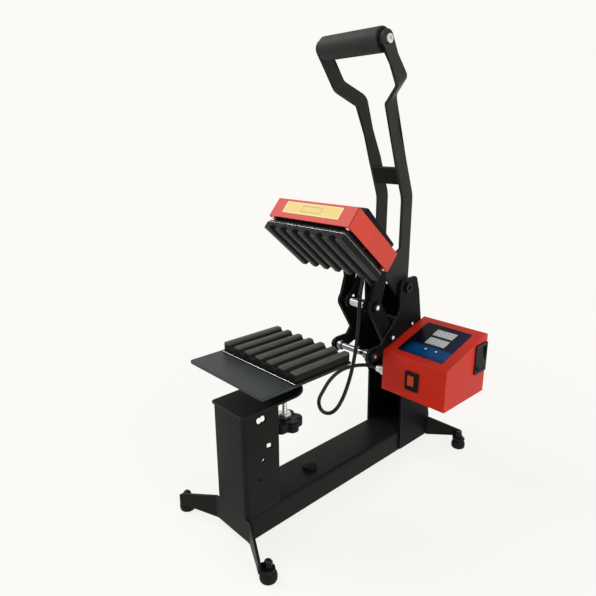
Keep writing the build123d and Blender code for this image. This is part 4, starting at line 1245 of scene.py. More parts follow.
@dataclass
class RibbedPad:
    """A pen pad: round grooves between round-edged ribs, all by one rule."""

    half_width: float = 60.0
    length: float = 80.0
    grooves: int = 6
    pitch: float = 18.5
    groove_radius: float = 5.5
    arc_points: int = 17
    look: Look = Look.PAD
    spacing: float = 0.45
    easing: int = 5
    end_round: float = 0.8
    end_steps: int = 3
    end_angle: float = 60.0

    def outline(self, rule: Rule) -> Socket:
        """Draw the pad's section, first the grooves' arcs and then the four outer corners, by index.

        Args:
            rule: The tree in work.

        Returns:
            The section as a mesh line, in the XY plane.
        """
        half, tall, radius = rule.size("Half Width"), rule.size("Height"), rule.size("Groove Radius")
        arc, count = rule.size("Arc Points"), rule.size("Grooves")
        index = rule.index()
        groove = index.maths("FLOOR", index / arc)
        angle = (index - groove * arc) / (arc - 1.0) * math.pi + math.pi
        centre = (groove - (count - 1.0) * 0.5) * rule.size("Pitch")
        arc_x = centre + radius * angle.maths("COSINE", angle)
        arc_z = tall + radius * angle.maths("SINE", angle)
        extra = index - count * arc
        corner_x = (extra.below(1.5) * 2.0 - 1.0) * half
        corner_z = (extra.below(0.5) + extra.above(2.5)) * tall
        past = extra.above(-0.5)
        x = arc_x * (1.0 - past) + corner_x * past
        y = arc_z * (1.0 - past) + corner_z * past
        line = rule.out("GeometryNodeMeshLine", None, {"Count": count * arc + 4.0})
        return rule.moved(line, rule.vector(x, y))

    def filled(self, rule: Rule, line: Socket) -> Socket:
        """Close a section, ease its corners and fill it.

        Args:
            rule: The tree in work.
            line: The section as a mesh line.

        Returns:
            The section as one face.
        """
        curve = rule.out("GeometryNodeMeshToCurve", None, {0: line})
        closed = rule.out("GeometryNodeSetSplineCyclic", None, {"Geometry": curve, "Cyclic": True})
        steps = {"Curve": closed, "Length": self.spacing * MM}
        even = rule.out("GeometryNodeResampleCurve", {"mode": "LENGTH"}, steps)
        place = {"Value": rule.out("GeometryNodeInputPosition"), "Iterations": self.easing}
        soft = rule.out("GeometryNodeBlurAttribute", {"data_type": "FLOAT_VECTOR"}, place)
        return rule.out("GeometryNodeFillCurve", {"mode": "NGONS"}, {"Curve": rule.moved(even, soft)})

    def build(self, name: str, height: float) -> Piece:
        """Draw the section out along the pad and round its ends.

        Args:
            name: The piece's name.
            height: The pad's height in millimetres.

        Returns:
            The pad, drawn along minus Z with its ribs towards Y.
        """
        sizes = {
            "Half Width": self.half_width * MM,
            "Length": self.length * MM,
            "Height": height * MM,
            "Grooves": self.grooves,
            "Pitch": self.pitch * MM,
            "Groove Radius": self.groove_radius * MM,
            "Arc Points": self.arc_points,
        }
        rule = Rule("ribbed_pad", sizes, self.look)
        face = self.filled(rule, self.outline(rule))
        way = {
            "Mesh": face,
            "Offset": rule.vector(0.0, 0.0, -1.0),
            "Offset Scale": rule.size("Length"),
            "Individual": False,
        }
        drawn = rule.out("GeometryNodeExtrudeMesh", {"mode": "FACES"}, way)
        back = rule.out("GeometryNodeFlipFaces", None, {0: face})
        solid = rule.out("GeometryNodeMergeByDistance", None, {0: rule.join(drawn, back)})
        level = {"Geometry": solid, "Name": "rib", "Value": rule.place()[1] / rule.size("Height")}
        kind = {"data_type": "FLOAT", "domain": "POINT"}
        piece = turned_out(rule.make(name, rule.out("GeometryNodeStoreNamedAttribute", kind, level)))
        ends = piece.modifiers.new("ends", "BEVEL")
        ends.width = self.end_round * MM
        ends.segments = self.end_steps
        ends.limit_method = "ANGLE"
        ends.angle_limit = math.radians(self.end_angle)
        return smooth(baked(piece), 40.0)


@dataclass
class ThreadedRod:
    """The lift screw: a core and one thread wound round it.

    The thread's ridge, how far its line lies below the crest and its gap at each end are
    shares of the pitch.
    """

    core: float = 2.55
    crest: float = 2.78
    pitch: float = 1.0
    ridge: float = 0.42
    ridge_sides: int = 5
    sunk: float = 0.22
    end_gap: float = 0.7
    core_sides: int = 32
    turn_steps: int = 18

    def build(self, name: str, length: float) -> Piece:
        """Wind the thread.

        Args:
            name: The piece's name.
            length: The rod's length in millimetres.

        Returns:
            The rod, standing on the origin along Z.
        """
        sizes = {
            "Core Radius": self.core * MM,
            "Crest Radius": self.crest * MM,
            "Pitch": self.pitch * MM,
            "Length": length * MM,
        }
        rule = Rule("threaded_rod", sizes, Look.ZINC)
        long, pitch, crest = rule.size("Length"), rule.size("Pitch"), rule.size("Crest Radius")
        stood = rule.drum(self.core_sides, rule.size("Core Radius"), long)
        line = {
            "Resolution": self.turn_steps,
            "Rotations": long / pitch - 2 * self.end_gap,
            "Start Radius": crest - pitch * self.sunk,
            "End Radius": crest - pitch * self.sunk,
            "Height": long - pitch * (2 * self.end_gap),
        }
        raised = rule.raised(rule.out("GeometryNodeCurveSpiral", None, line), pitch * self.end_gap)
        round_line = {"Resolution": self.ridge_sides, "Radius": pitch * self.ridge}
        ridge = rule.out("GeometryNodeCurvePrimitiveCircle", None, round_line)
        sweep = {"Curve": raised, "Profile Curve": ridge, "Fill Caps": True}
        wound = rule.out("GeometryNodeCurveToMesh", None, sweep)
        return smooth(rule.make(name, rule.join(stood, wound)), 50.0)


@dataclass
class LobedKnob:
    """The pressure knob: a round whose radius swells into lobes, with a rounded rim and dished faces."""

    radius: float = 20.8
    height: float = 12.0
    lobes: int = 6
    hollow: float = 4.3
    hollow_power: float = 1.6
    rim: float = 1.6
    rim_levels: Spot = (0.70, 1.0)
    dish: float = 0.9
    dish_reach: Spot = (0.85, 0.3)
    sides: int = 144
    side_steps: int = 14
    face_steps: int = 10

    def build(self, name: str) -> Piece:
        """Shape a cylinder by the lobes' rule.

        Args:
            name: The piece's name.

        Returns:
            The knob, standing on the origin along Z.
        """
        sizes = {
            "Radius": self.radius * MM,
            "Height": self.height * MM,
            "Lobes": self.lobes,
            "Hollow": self.hollow * MM,
        }
        rule = Rule("lobed_knob", sizes, Look.PLASTIC)
        tall = rule.size("Height")
        steps = {"Vertices": self.sides, "Side Segments": self.side_steps, "Fill Segments": self.face_steps}
        round_one = {**steps, "Radius": 1.0, "Depth": tall}
        blank = rule.out("GeometryNodeMeshCylinder", {"fill_type": "TRIANGLE_FAN"}, round_one)
        x, y, z = rule.place()
        reach = x.reach(y)
        angle = x.maths("ARCTAN2", y, x)
        wave = angle.maths("COSINE", angle * rule.size("Lobes"))
        dip = (0.5 - wave * 0.5) ** self.hollow_power
        level = abs(z / tall) * 2.0
        rim = level.ramp(*self.rim_levels)
        radius = rule.size("Radius") - rule.size("Hollow") * dip - rim * rim * self.rim * MM
        dish = reach.ramp(*self.dish_reach) * level.above(0.99) * self.dish * MM
        sign = z.maths("SIGN", z)
        piece = rule.make(name, rule.moved(blank, rule.vector(x * radius, y * radius, z - sign * dish)))
        settle(piece, Matrix.Translation((0.0, 0.0, self.height * MM / 2)))
        return smooth(piece, 50.0)


@dataclass
class CapNuts:
    """Cap nuts, one on each point."""

    corner: float = 4.7
    hex_height: float = 7.2
    dome: float = 4.0
    flat: float = 0.58
    dome_sides: int = 24
    dome_steps: int = 14

    def build(self, name: str, points: Sequence[Vector]) -> Piece:
        """Seat a nut on each point.

        Args:
            name: The piece's name.
            points: The middle of each nut's lower face, in the frame.

        Returns:
            The nuts.
        """
        sizes = {
            "Corner Radius": self.corner * MM,
            "Hex Height": self.hex_height * MM,
            "Dome Radius": self.dome * MM,
        }
        rule = Rule("cap_nuts", sizes, Look.BOLT)
        tall = rule.size("Hex Height")
        hexagon = rule.drum(6, rule.size("Corner Radius"), tall)
        dome = {"Segments": self.dome_sides, "Rings": self.dome_steps, "Radius": rule.size("Dome Radius")}
        ball = rule.out("GeometryNodeMeshUVSphere", None, dome)
        cap = rule.raised(ball, tall, (1.0, 1.0, self.flat))
        nut = rule.seated(rule.join(hexagon, cap))
        return smooth(rule.make(name, nut, loose_points(name, points)), 30.0)


@dataclass
class CrossScrews:
    """Pan-head screws with a cross recess, one on each point, all facing one way."""

    radius: float = 1.9
    height: float = 1.5
    slot_width: float = 0.5
    dome_sides: int = 28
    dome_steps: int = 14

    def build(self, name: str, points: Sequence[Vector], axis: Vector) -> Piece:
        """Seat a screw head on each point.

        Args:
            name: The piece's name.
            points: The middle of each head's seat, in the frame.
            axis: The way the heads face.

        Returns:
            The screw heads.
        """
        sizes = {
            "Head Radius": self.radius * MM,
            "Head Height": self.height * MM,
            "Slot Width": self.slot_width * MM,
            "Axis": tuple(axis),
        }
        rule = Rule("cross_screws", sizes, Look.ZINC)
        radius, tall, width = rule.size("Head Radius"), rule.size("Head Height"), rule.size("Slot Width")
        dome = {"Segments": self.dome_sides, "Rings": self.dome_steps, "Radius": radius}
        ball = rule.out("GeometryNodeMeshUVSphere", None, dome)
        cut = rule.raised(ball, 0.0, rule.vector(1.0, 1.0, tall / radius))
        # One block takes off the lower half, and two bars of nearly one depth cut the cross
        cutters = (
            ((radius * 3.0, radius * 3.0, tall * 2.0), tall * -0.99),
            ((radius * 1.15, width, tall), tall * 0.98),
            ((width, radius * 1.12, tall), tall * 1.02),
        )
        for sides, level in cutters:
            block = rule.out("GeometryNodeMeshCube", None, {"Size": rule.vector(*sides)})
            pair = {"Mesh 1": cut, "Mesh 2": rule.raised(block, level)}
            cut = rule.out("GeometryNodeMeshBoolean", {"operation": "DIFFERENCE", "solver": "EXACT"}, pair)
        way = {"Vector": rule.entry.outputs["Axis"]}
        facing = rule.out("FunctionNodeAlignRotationToVector", {"axis": "Z"}, way)
        heads = rule.make(name, rule.seated(cut, facing), loose_points(name, points))
        return smooth(turned_out(heads), 35.0)

    def pair(self, name: str, out: float, place: Spot) -> Piece:
        """Seat one head on each side of the machine, facing outwards.

        Args:
            name: The piece's name.
            out: The seats' distance from the middle plane, in millimetres.
            place: Where the screw's line crosses that plane, as Y and Z.

        Returns:
            The screw heads.
        """
        sides = []
        for label, side in (("left", -1.0), ("right", 1.0)):
            heads = self.build(f"{name}_{label}", [at(side * out, *place)], Vector((side, 0, 0)))
            sides.append(heads)
        return joined(name, sides)


@dataclass
class DigitSegments:
    """The bars of unlit display digits, four digits to a window."""

    digits: int = 4
    tall: float = 9.0
    wide: float = 4.6
    bar: float = 0.7
    proud: float = 0.06
    gap: float = 0.9
    slant: float = 0.12

    def spots(self, windows: Sequence[Sequence[float]]) -> list[tuple[Vector, float]]:
        """Place the bars of every digit.

        Args:
            windows: The windows' limits on the panel, in millimetres.

        Returns:
            For each bar its place on the panel, in metres, and its turn.
        """
        half, quarter = self.wide / 2, self.tall / 4
        bars = [(0, 2 * quarter, 0), (0, 0, 0), (0, -2 * quarter, 0)]
        bars += [(side * half, level * quarter, 1) for side in (-1, 1) for level in (-1, 1)]
        spots = []
        for u0, u1, v0, v1 in windows:
            step = (u1 - u0) / self.digits
            for i in range(self.digits):
                for x, y, turn in bars:
                    right = u0 + step * (i + 0.5) + x + y * self.slant
                    place = (right * MM, ((v0 + v1) / 2 + y) * MM, self.proud * MM / 2)
                    spots.append((place, turn * math.pi / 2))
        return spots

    def build(self, name: str, windows: Sequence[Sequence[float]], panel: Matrix) -> Piece:
        """Lay the bars on each window.

        Args:
            name: The piece's name.
            windows: The windows' limits on the panel, in millimetres.
            panel: The matrix from the panel's plane to the frame.

        Returns:
            The bars.
        """
        spots = self.spots(windows)
        source = loose_points(name, [place for place, _ in spots])
        turned = source.attributes.new("turn", "FLOAT", "POINT")
        turned.data.foreach_set("value", [turn for _, turn in spots])
        sizes = {
            "Bar Width": self.bar * MM,
            "Bar Length": (self.tall / 2 - self.gap) * MM,
            "Proud": self.proud * MM,
        }
        rule = Rule("display_digits", sizes, Look.SEGMENT)
        sides = rule.vector(rule.size("Bar Length"), rule.size("Bar Width"), rule.size("Proud"))
        bar = rule.out("GeometryNodeMeshCube", None, {"Size": sides})
        angle = rule.out("GeometryNodeInputNamedAttribute", {"data_type": "FLOAT"}, {"Name": "turn"})
        laid = rule.seated(bar, rule.vector(0.0, 0.0, angle))
        return settle(rule.make(name, laid, source), panel)


@dataclass
class FrontLamp:
    """A black frame with a red lens, let into the front wall of the control box.

    Each step of a profile is how much wider the ring is on every side, its corners' radius and
    how far it stands off the wall.
    """

    wall: float = PANEL_CORNER[1]
    middle: Spot = (75.0, 142.8)
    half: Spot = (9.6, 12.3)
    profile: Sequence[tuple[float, float, float]] = ((0.0, 2.0, -0.3), (0.0, 2.0, 1.5), (-0.7, 1.6, 2.2))
    lens_middle: Spot = (73.9, 143.4)
    lens_half: Spot = (4.4, 6.6)
    lens_profile: Sequence[tuple[float, float, float]] = (
        (1.1, 1.0, 2.2),
        (0.5, 0.8, 0.9),
        (0.2, 0.6, 0.9),
        (0.0, 0.5, 2.0),
    )
    corner_steps: int = 5

    def ring(self, middle: Spot, half: Spot, step: Sequence[float]) -> list[Vector]:
        """Points round a rectangle with rounded corners.

        Args:
            middle: The rectangle's middle, across and up, in millimetres.
            half: Its half width and half height.
            step: A step of a profile.

        Returns:
            The points, in the frame.
        """
        grow, corner, out = step
        points = []
        for quarter, (across, up) in enumerate(((1, 1), (-1, 1), (-1, -1), (1, -1))):
            for i in range(self.corner_steps + 1):
                angle = math.pi / 2 * (quarter + i / self.corner_steps)
                x = middle[0] + across * (half[0] + grow - corner) + corner * math.cos(angle)
                z = middle[1] + up * (half[1] + grow - corner) + corner * math.sin(angle)
                points.append(at(x, self.wall - out, z))
        return points

    def build(self) -> Piece:
        """Bridge the rings from the wall outwards and in again to the lens.

        Returns:
            The lamp.
        """
        rings = [self.ring(self.middle, self.half, step) for step in self.profile]
        rings += [self.ring(self.lens_middle, self.lens_half, step) for step in self.lens_profile]
        work = bmesh.new()
        loops = bridged(work, rings)
        work.faces.ensure_lookup_table()
        for face in work.faces[-len(loops[0]):]:
            face.material_index = 1
        work.faces.new(loops[0])
        work.faces.new(loops[-1]).material_index = 1
        piece = turned_out(piece_of("front_lamp", work, Look.PLASTIC, Look.LENS))
        return hand_over(piece, "base", "plastic_black")


@dataclass
class HeaterLead:
    """The free lead from the head's gland down, round one loop and up into the control box."""

    radius: float = 2.4
    sides: int = 14
    length: float = 0.3495
    route: Sequence[tuple[float, float, float]] = (
        (9.5, 24.98, 288.86),
        (9.5, 35.54, 279.68),
        (9.2, 38.0, 263.0),
        (9.5, 31.6, 243.0),
        (9.9, 31.4, 206.0),
        (10.2, 26.0, 172.0),
        (11.3, 18.0, 146.0),
        (12.2, 8.6, 127.0),
        (12.7, 0.2, 114.8),
        (12.2, -8.6, 105.5),
        (6.0, -12.9, 98.1),
        (-4.0, -14.5, 95.3),
        (-14.0, -12.9, 98.1),
        (-20.2, -8.6, 105.5),
        (-21.2, 0.4, 114.0),
        (-20.5, 12.5, 127.0),
        (-17.0, 29.0, 136.5),
        (-9.5, 46.0, 139.6),
        (0.0, 58.0, 140.0),
        (10.0, 62.0, 140.2),
        (27.0, 62.0, 140.2),
    )

    def line(self) -> list[Vector]:
        """Read points from the route's smooth spline.

        Returns:
            Points along the lead's middle line, in the frame.
        """
        curve = bpy.data.curves.new("lead_route", "CURVE")
        curve.dimensions = "3D"
        spline = curve.splines.new("NURBS")
        spline.points.add(len(self.route) - 1)
        for point, place in zip(spline.points, self.route):
            point.co = (*at(*place), 1.0)
        spline.order_u = 3
        spline.use_endpoint_u = True
        spline.resolution_u = 10
        guide = bpy.data.objects.new("lead_route", curve)
        bpy.context.scene.collection.objects.link(guide)
        bpy.context.view_layer.update()
        graph = bpy.context.evaluated_depsgraph_get()
        mesh = bpy.data.meshes.new_from_object(guide.evaluated_get(graph), depsgraph=graph)
        points = [v.co.copy() for v in mesh.vertices]
        bpy.data.objects.remove(guide)
        bpy.data.meshes.remove(mesh)
        return points

    def rings(self, points: Sequence[Vector]) -> list[list[Vector]]:
        """Lay a ring square to the line round each of its points, none twisted against the next.

        Args:
            points: Points along the lead's middle line.

        Returns:
            The rings' points.
        """
        side = Vector(RIGHTWARDS)
        rings = []
        for i, point in enumerate(points):
            ahead = points[min(i + 1, len(points) - 1)] - points[max(i - 1, 0)]
            ahead.normalize()
            side = (side - ahead * side.dot(ahead)).normalized()
            over = ahead.cross(side)
            ring = []
            for k in range(self.sides):
                a = 2 * math.pi * k / self.sides
                ring.append(point + (side * math.cos(a) + over * math.sin(a)) * self.radius * MM)
            rings.append(ring)
        return rings

    def build(self) -> Piece:
        """Returns:
            The lead.
        """
        points = self.line()
        work = bmesh.new()
        loops = bridged(work, self.rings(points))
        work.faces.new(loops[0][::-1])
        work.faces.new(loops[-1])
        bmesh.ops.recalc_face_normals(work, faces=work.faces)
        piece = smooth(piece_of("heater_lead_sheath", work, Look.SHEATH), 60.0)
        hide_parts("heater_lead")
        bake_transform(piece, "base", "head", start=tuple(at(10, 30, 150)), end=tuple(at(10, 30, 282)))
        LOG.info("piece %s bends between base and head", piece.name)
        return piece


@dataclass
class BaseStand:
    """The channel, the two splayed leg brackets, their feet and the rubber stop."""

    foot_x: float = 75.2
    foot_front: float = -174.2
    middle_y: float = 2.5
    foot_height: float = 12.0
    sheet: float = 3.0
    stop_at: tuple[float, float, float] = (3.0, -47.0, 35.0)
    stop_swell: Spot = (1.6, 0.82)
    stop_seat: float = 0.5
    wing_root: Spot = (31.0, 164.0)
    wing_length: float = 53.5
    wing_half: float = 1.7
    wing_foot: float = 17.0
    tip_band: float = 5.0
    tip_cut: float = 5.0
    rear_drop: float = 5.5
    splay: float = 28.0
    foot_aside: float = 9.5
    tab_levels: Spot = (11.0, 16.0)
    tab_draw: float = 0.16
    tab_fade: float = 4.0
    stud_room: float = 5.0
    barrel_levels: Sequence[float] = (3.0, 5.0, 7.0, 9.0)
    barrel_belly: float = 4.5
    barrel_draw: float = 0.0044

    def off_foot(self, local: Vector) -> Vector:
        """The level way to a point from the middle of the foot on its own corner of the stand.

        Args:
            local: The point in machine millimetres.

        Returns:
            The way in millimetres.
        """
        reach = self.middle_y - self.foot_front
        foot_y = self.middle_y + math.copysign(reach, local.y - self.middle_y)
        off = local - Vector((math.copysign(self.foot_x, local.x), foot_y, 0.0))
        off.z = 0.0
        return off

    def on_wing(self, local: Vector) -> Spot:
        """Where a point lies on the wing of its own corner.

        Args:
            local: The point in machine millimetres.

        Returns:
            How far out along the wing it lies and how far beside the wing's middle.
        """
        splay = math.radians(self.splay)
        out_x = abs(local.x) - self.wing_root[0]
        out_y = abs(local.y - self.middle_y) - self.wing_root[1]
        reach = out_x * math.cos(splay) + out_y * math.sin(splay)
        return reach, out_x * math.sin(splay) - out_y * math.cos(splay)

    def barrel(self, work: Work) -> None:
        """Give the rubber feet their round sides.

        Args:
            work: The mesh in work.
        """
        for level in self.barrel_levels:
            cut_across(work, at(0.0, 0.0, level), (0.0, 0.0, 1.0))
        for vert in work.verts:
            local = machine(vert.co)
            off = self.off_foot(local)
            if off.length > self.stud_room:
                vert.co -= off * (MM * self.barrel_draw * (local.z - self.barrel_belly) ** 2)

    def trim(self, work: Work) -> None:
        """Shorten the wings' tips and draw the tabs in to the feet.

        Args:
            work: The mesh in work.
        """
        splay = math.radians(self.splay)
        low, high = self.tab_levels
        for vert in work.verts:
            local = machine(vert.co)
            reach, aside = self.on_wing(local)
            if reach > self.wing_length - self.tip_band and abs(aside) < self.wing_half:
                vert.co.x -= math.copysign(self.tip_cut * MM * math.cos(splay), local.x)
                vert.co.y -= math.copysign(self.tip_cut * MM * math.sin(splay), local.y - self.middle_y)
            off = self.off_foot(local)
            if aside > self.foot_aside and low < local.z < high and off.length > self.stud_room:
                share = min((aside - self.foot_aside) / self.tab_fade, 1.0)
                vert.co -= off * (MM * self.tab_draw * share)

    def low_tips(self, work: Work) -> None:
        """Let the rear wings' top edges run down to the feet and trim the wings.

        Args:
            work: The mesh in work.
        """
        for vert in work.verts:
            local = machine(vert.co)
            reach, aside = self.on_wing(local)
            if reach > 0.0 and local.z > self.wing_foot and abs(aside) < self.wing_half:
                vert.co.z -= self.rear_drop * MM * min(reach / self.wing_length, 1.0)
        self.trim(work)

    def squat(self, work: Work) -> None:
        """Give the rubber stop its flat, wide shape.

        Args:
            work: The mesh in work.
        """
        foot = at(*self.stop_at)
        wide, tall = self.stop_swell
        for vert in work.verts:
            if vert.co.z > foot.z - self.stop_seat * MM:
                vert.co.x = foot.x + (vert.co.x - foot.x) * wide
                vert.co.y = foot.y + (vert.co.y - foot.y) * wide
                vert.co.z = foot.z + (vert.co.z - foot.z) * tall

    def build(self) -> None:
        """Make the stand's pieces."""
        Softened("base_channel", Look.BLACK_STEEL, Look.BLACK_EDGE_HIGHLIGHT, width=0.5).build()
        for node, change in (("front_leg_bracket", self.trim), ("rear_leg_bracket", self.low_tips)):
            Softened(node, Look.BLACK_STEEL, Look.BLACK_EDGE_HIGHLIGHT, width=0.5, reshape=change).build()
        Softened("foot_pads", Look.RUBBER, width=0.4, reshape=self.barrel).build()
        Softened("channel_stop", Look.RUBBER, width=0.7, reshape=self.squat).build()
        dress("foot_studs", Look.ZINC)
        rear = 2 * self.middle_y - self.foot_front
        tops = [
            at(side * self.foot_x, y, self.foot_height + self.sheet)
            for side in (-1, 1)
            for y in (self.foot_front, rear)
        ]
        nuts = CapNuts().build("foot_cap_nuts", tops)
        hand_over(nuts, "base", "black_steel", "foot_nuts")


@dataclass
class ScrewLift:
    """The tower, its roof and guide, the screw with its knob, and the lower plate with its pad."""

    screw_y: float = -84.0
    screw_foot: float = 108.0
    screw_top: float = 183.0
    knob_foot: float = 106.0
    nut_corner: float = 7.8
    nut_height: float = 6.0
    nut_edge: float = 0.5
    nut_middle: float = 15.05
    pad_front: float = -121.5
    pad_foot: float = 193.0
    pad_height: float = 11.0
    plate_half: float = 69.0
    plate_right: float = 57.0
    plate_rim: float = 8.0
    highlight_width: float = 0.6
    right_wall: float = 20.0
    twin_hole: Spot = (-141.5, 148.5)
    twin_reach: float = 8.5
    twin_move: Spot = (2.0, -2.2)
    twin_level: float = 0.45
    slot_hole: Spot = (-130.0, 112.0)
    slot_reach: float = 6.0
    slot_level: float = 0.75
    slot_widen: float = 1.35
    slot_move: float = 0.8

    def holed(self, work: Work) -> None:
        """Level the twin hole and the slot of the tower's right wall and widen the slot.

        Args:
            work: The mesh in work.
        """
        for vert in work.verts:
            local = machine(vert.co)
            if local.x < self.right_wall:
                continue
            along, up = local.y - self.twin_hole[0], local.z - self.twin_hole[1]
            if math.hypot(along, up) < self.twin_reach:
                vert.co.y += self.twin_move[0] * MM
                vert.co.z += (self.twin_move[1] - along * self.twin_level) * MM
            along, up = local.y - self.slot_hole[0], local.z - self.slot_hole[1]
            if math.hypot(along, up) < self.slot_reach:
                vert.co.y += self.slot_move * MM
                vert.co.z += ((up - along * self.slot_level) * self.slot_widen - up) * MM

    def narrow(self, work: Work) -> None:
        """Draw the plate's right edge in to the pad's side.

        Args:
            work: The mesh in work.
        """
        limit = at(self.plate_right, 0.0, 0.0).x
        rim = at(self.plate_half, 0.0, 0.0).x
        for vert in work.verts:
            if vert.co.x > rim - self.plate_rim * MM:
                vert.co.x -= rim - limit

    def front_edge(self, place: Vector, normal: Vector) -> bool:
        """Whether a spot of the carrier's edge, not facing sideways, is on its front rim, which keeps the
        painted highlight.
        """
        return place.y < at(0.0, self.pad_front - self.highlight_width, 0.0).y and abs(normal.x) < 0.5

    def build(self) -> None:
        """Make the lift's pieces."""
        Softened("tower", Look.BLACK_STEEL, Look.BLACK_EDGE_HIGHLIGHT, width=0.5, reshape=self.holed).build()
        for node in ("tower_roof", "stem_guide", "plate_stem"):
            Softened(node, Look.BLACK_STEEL, Look.BLACK_EDGE_HIGHLIGHT, width=0.5).build()
        Softened("lower_plate", Look.LIT_PLATE_STEEL, Look.LIT_PLATE_STEEL, width=0.6, reshape=self.narrow).build()
        # The carrier's body is aluminium with painted shade, its front rim a painted highlight
        Softened("pad_carrier", Look.SHADED_ALUMINIUM, Look.ALUMINIUM, width=0.3, highlit_edge=self.front_edge).build()
        Softened("screw_collars", Look.ZINC, width=0.3).build()
        rod = ThreadedRod().build("lift_screw", self.screw_top - self.screw_foot)
        settle(rod, Matrix.Translation(at(0.0, self.screw_y, self.screw_foot)))
        hand_over(rod, "knob", "black_steel", "pressure_screw")
        knob = LobedKnob().build("pressure_knob_lobes")
        settle(knob, Matrix.Translation(at(0.0, self.screw_y, self.knob_foot)))
        hub = self.hub()
        hand_over(knob, "knob", "plastic_black", "pressure_knob")
        hand_over(hub, "knob", "zinc_steel")
        pad = RibbedPad().build("lower_pad_ribs", self.pad_height)
        move = Matrix.Translation(at(0.0, self.pad_front, self.pad_foot))
        settle(pad, move @ Matrix.Rotation(math.pi / 2, 4, "X"))
        hand_over(pad, "plate", "silicone_dark", "lower_pen_pad")

    def hub(self) -> Piece:
        """Turn the bright nut that sits on the knob.

        Returns:
            The nut.
        """
        work = bmesh.new()
        corner = self.nut_corner * MM
        tall = self.nut_height * MM
        bmesh.ops.create_cone(work, cap_ends=True, segments=6, radius1=corner, radius2=corner, depth=tall)
        edge = self.nut_edge * MM
        bmesh.ops.bevel(work, geom=list(work.edges), offset=edge, segments=2, affect="EDGES", profile=0.5)
        middle = at(0.0, self.screw_y, self.knob_foot + self.nut_middle)
        bmesh.ops.translate(work, verts=work.verts, vec=middle)
        return smooth(piece_of("knob_nut", work, Look.ZINC), 30.0)


@dataclass
class ToggleUpright:
    """The two upright plates with their web, rods, bolts and the toggle links."""

    bright_ends: Sequence[tuple[str, float, float, Spot]] = (
        ("head_bolt_caps", 2.5, 33.9, HEAD_BOLTS),
        ("tie_rod_caps", 2.7, 34.0, (34.5, 168.5)),
        ("spacer_rivet_caps", 1.9, 32.1, (112.0, 192.5)),
    )
    cap_height: float = 1.2
    web_top: float = 205.0
    web_band: float = 5.0
    web_reach: float = 29.0
    web_slope: float = -0.227

    def tall_web(self, work: Work) -> None:
        """Draw the web's top edge up between the shoulders of the plates.

        Args:
            work: The mesh in work.
        """
        shift = Vector((0.0, self.web_slope, 1.0)) * (self.web_reach * MM)
        for vert in work.verts:
            if vert.co.z > (self.web_top - self.web_band) * MM:
                vert.co += shift

    def build(self) -> None:
        """Make the upright's pieces."""
        for node in ("left_upright_plate", "right_upright_plate", "toggle_links"):
            Softened(node, Look.SHADED_BLACK_STEEL, Look.BLACK_EDGE_HIGHLIGHT, width=0.5).build()
        web = Softened("upright_back_web", Look.SHADED_BLACK_STEEL, Look.BLACK_EDGE_HIGHLIGHT, width=0.5, reshape=self.tall_web)
        web.build()
        for node in ("handle_pivot_bolts", "head_pivot_bolts", "tie_rod_nuts", "upright_spacer", "link_pins"):
            Softened(node, Look.BOLT, width=0.4).build()
        for name, radius, out, place in self.bright_ends:
            ends = CrossScrews(radius, self.cap_height).pair(name, out, place)
            hand_over(ends, "base", "zinc_steel")
        Softened("tie_rod", Look.TIE, width=0.3).build()


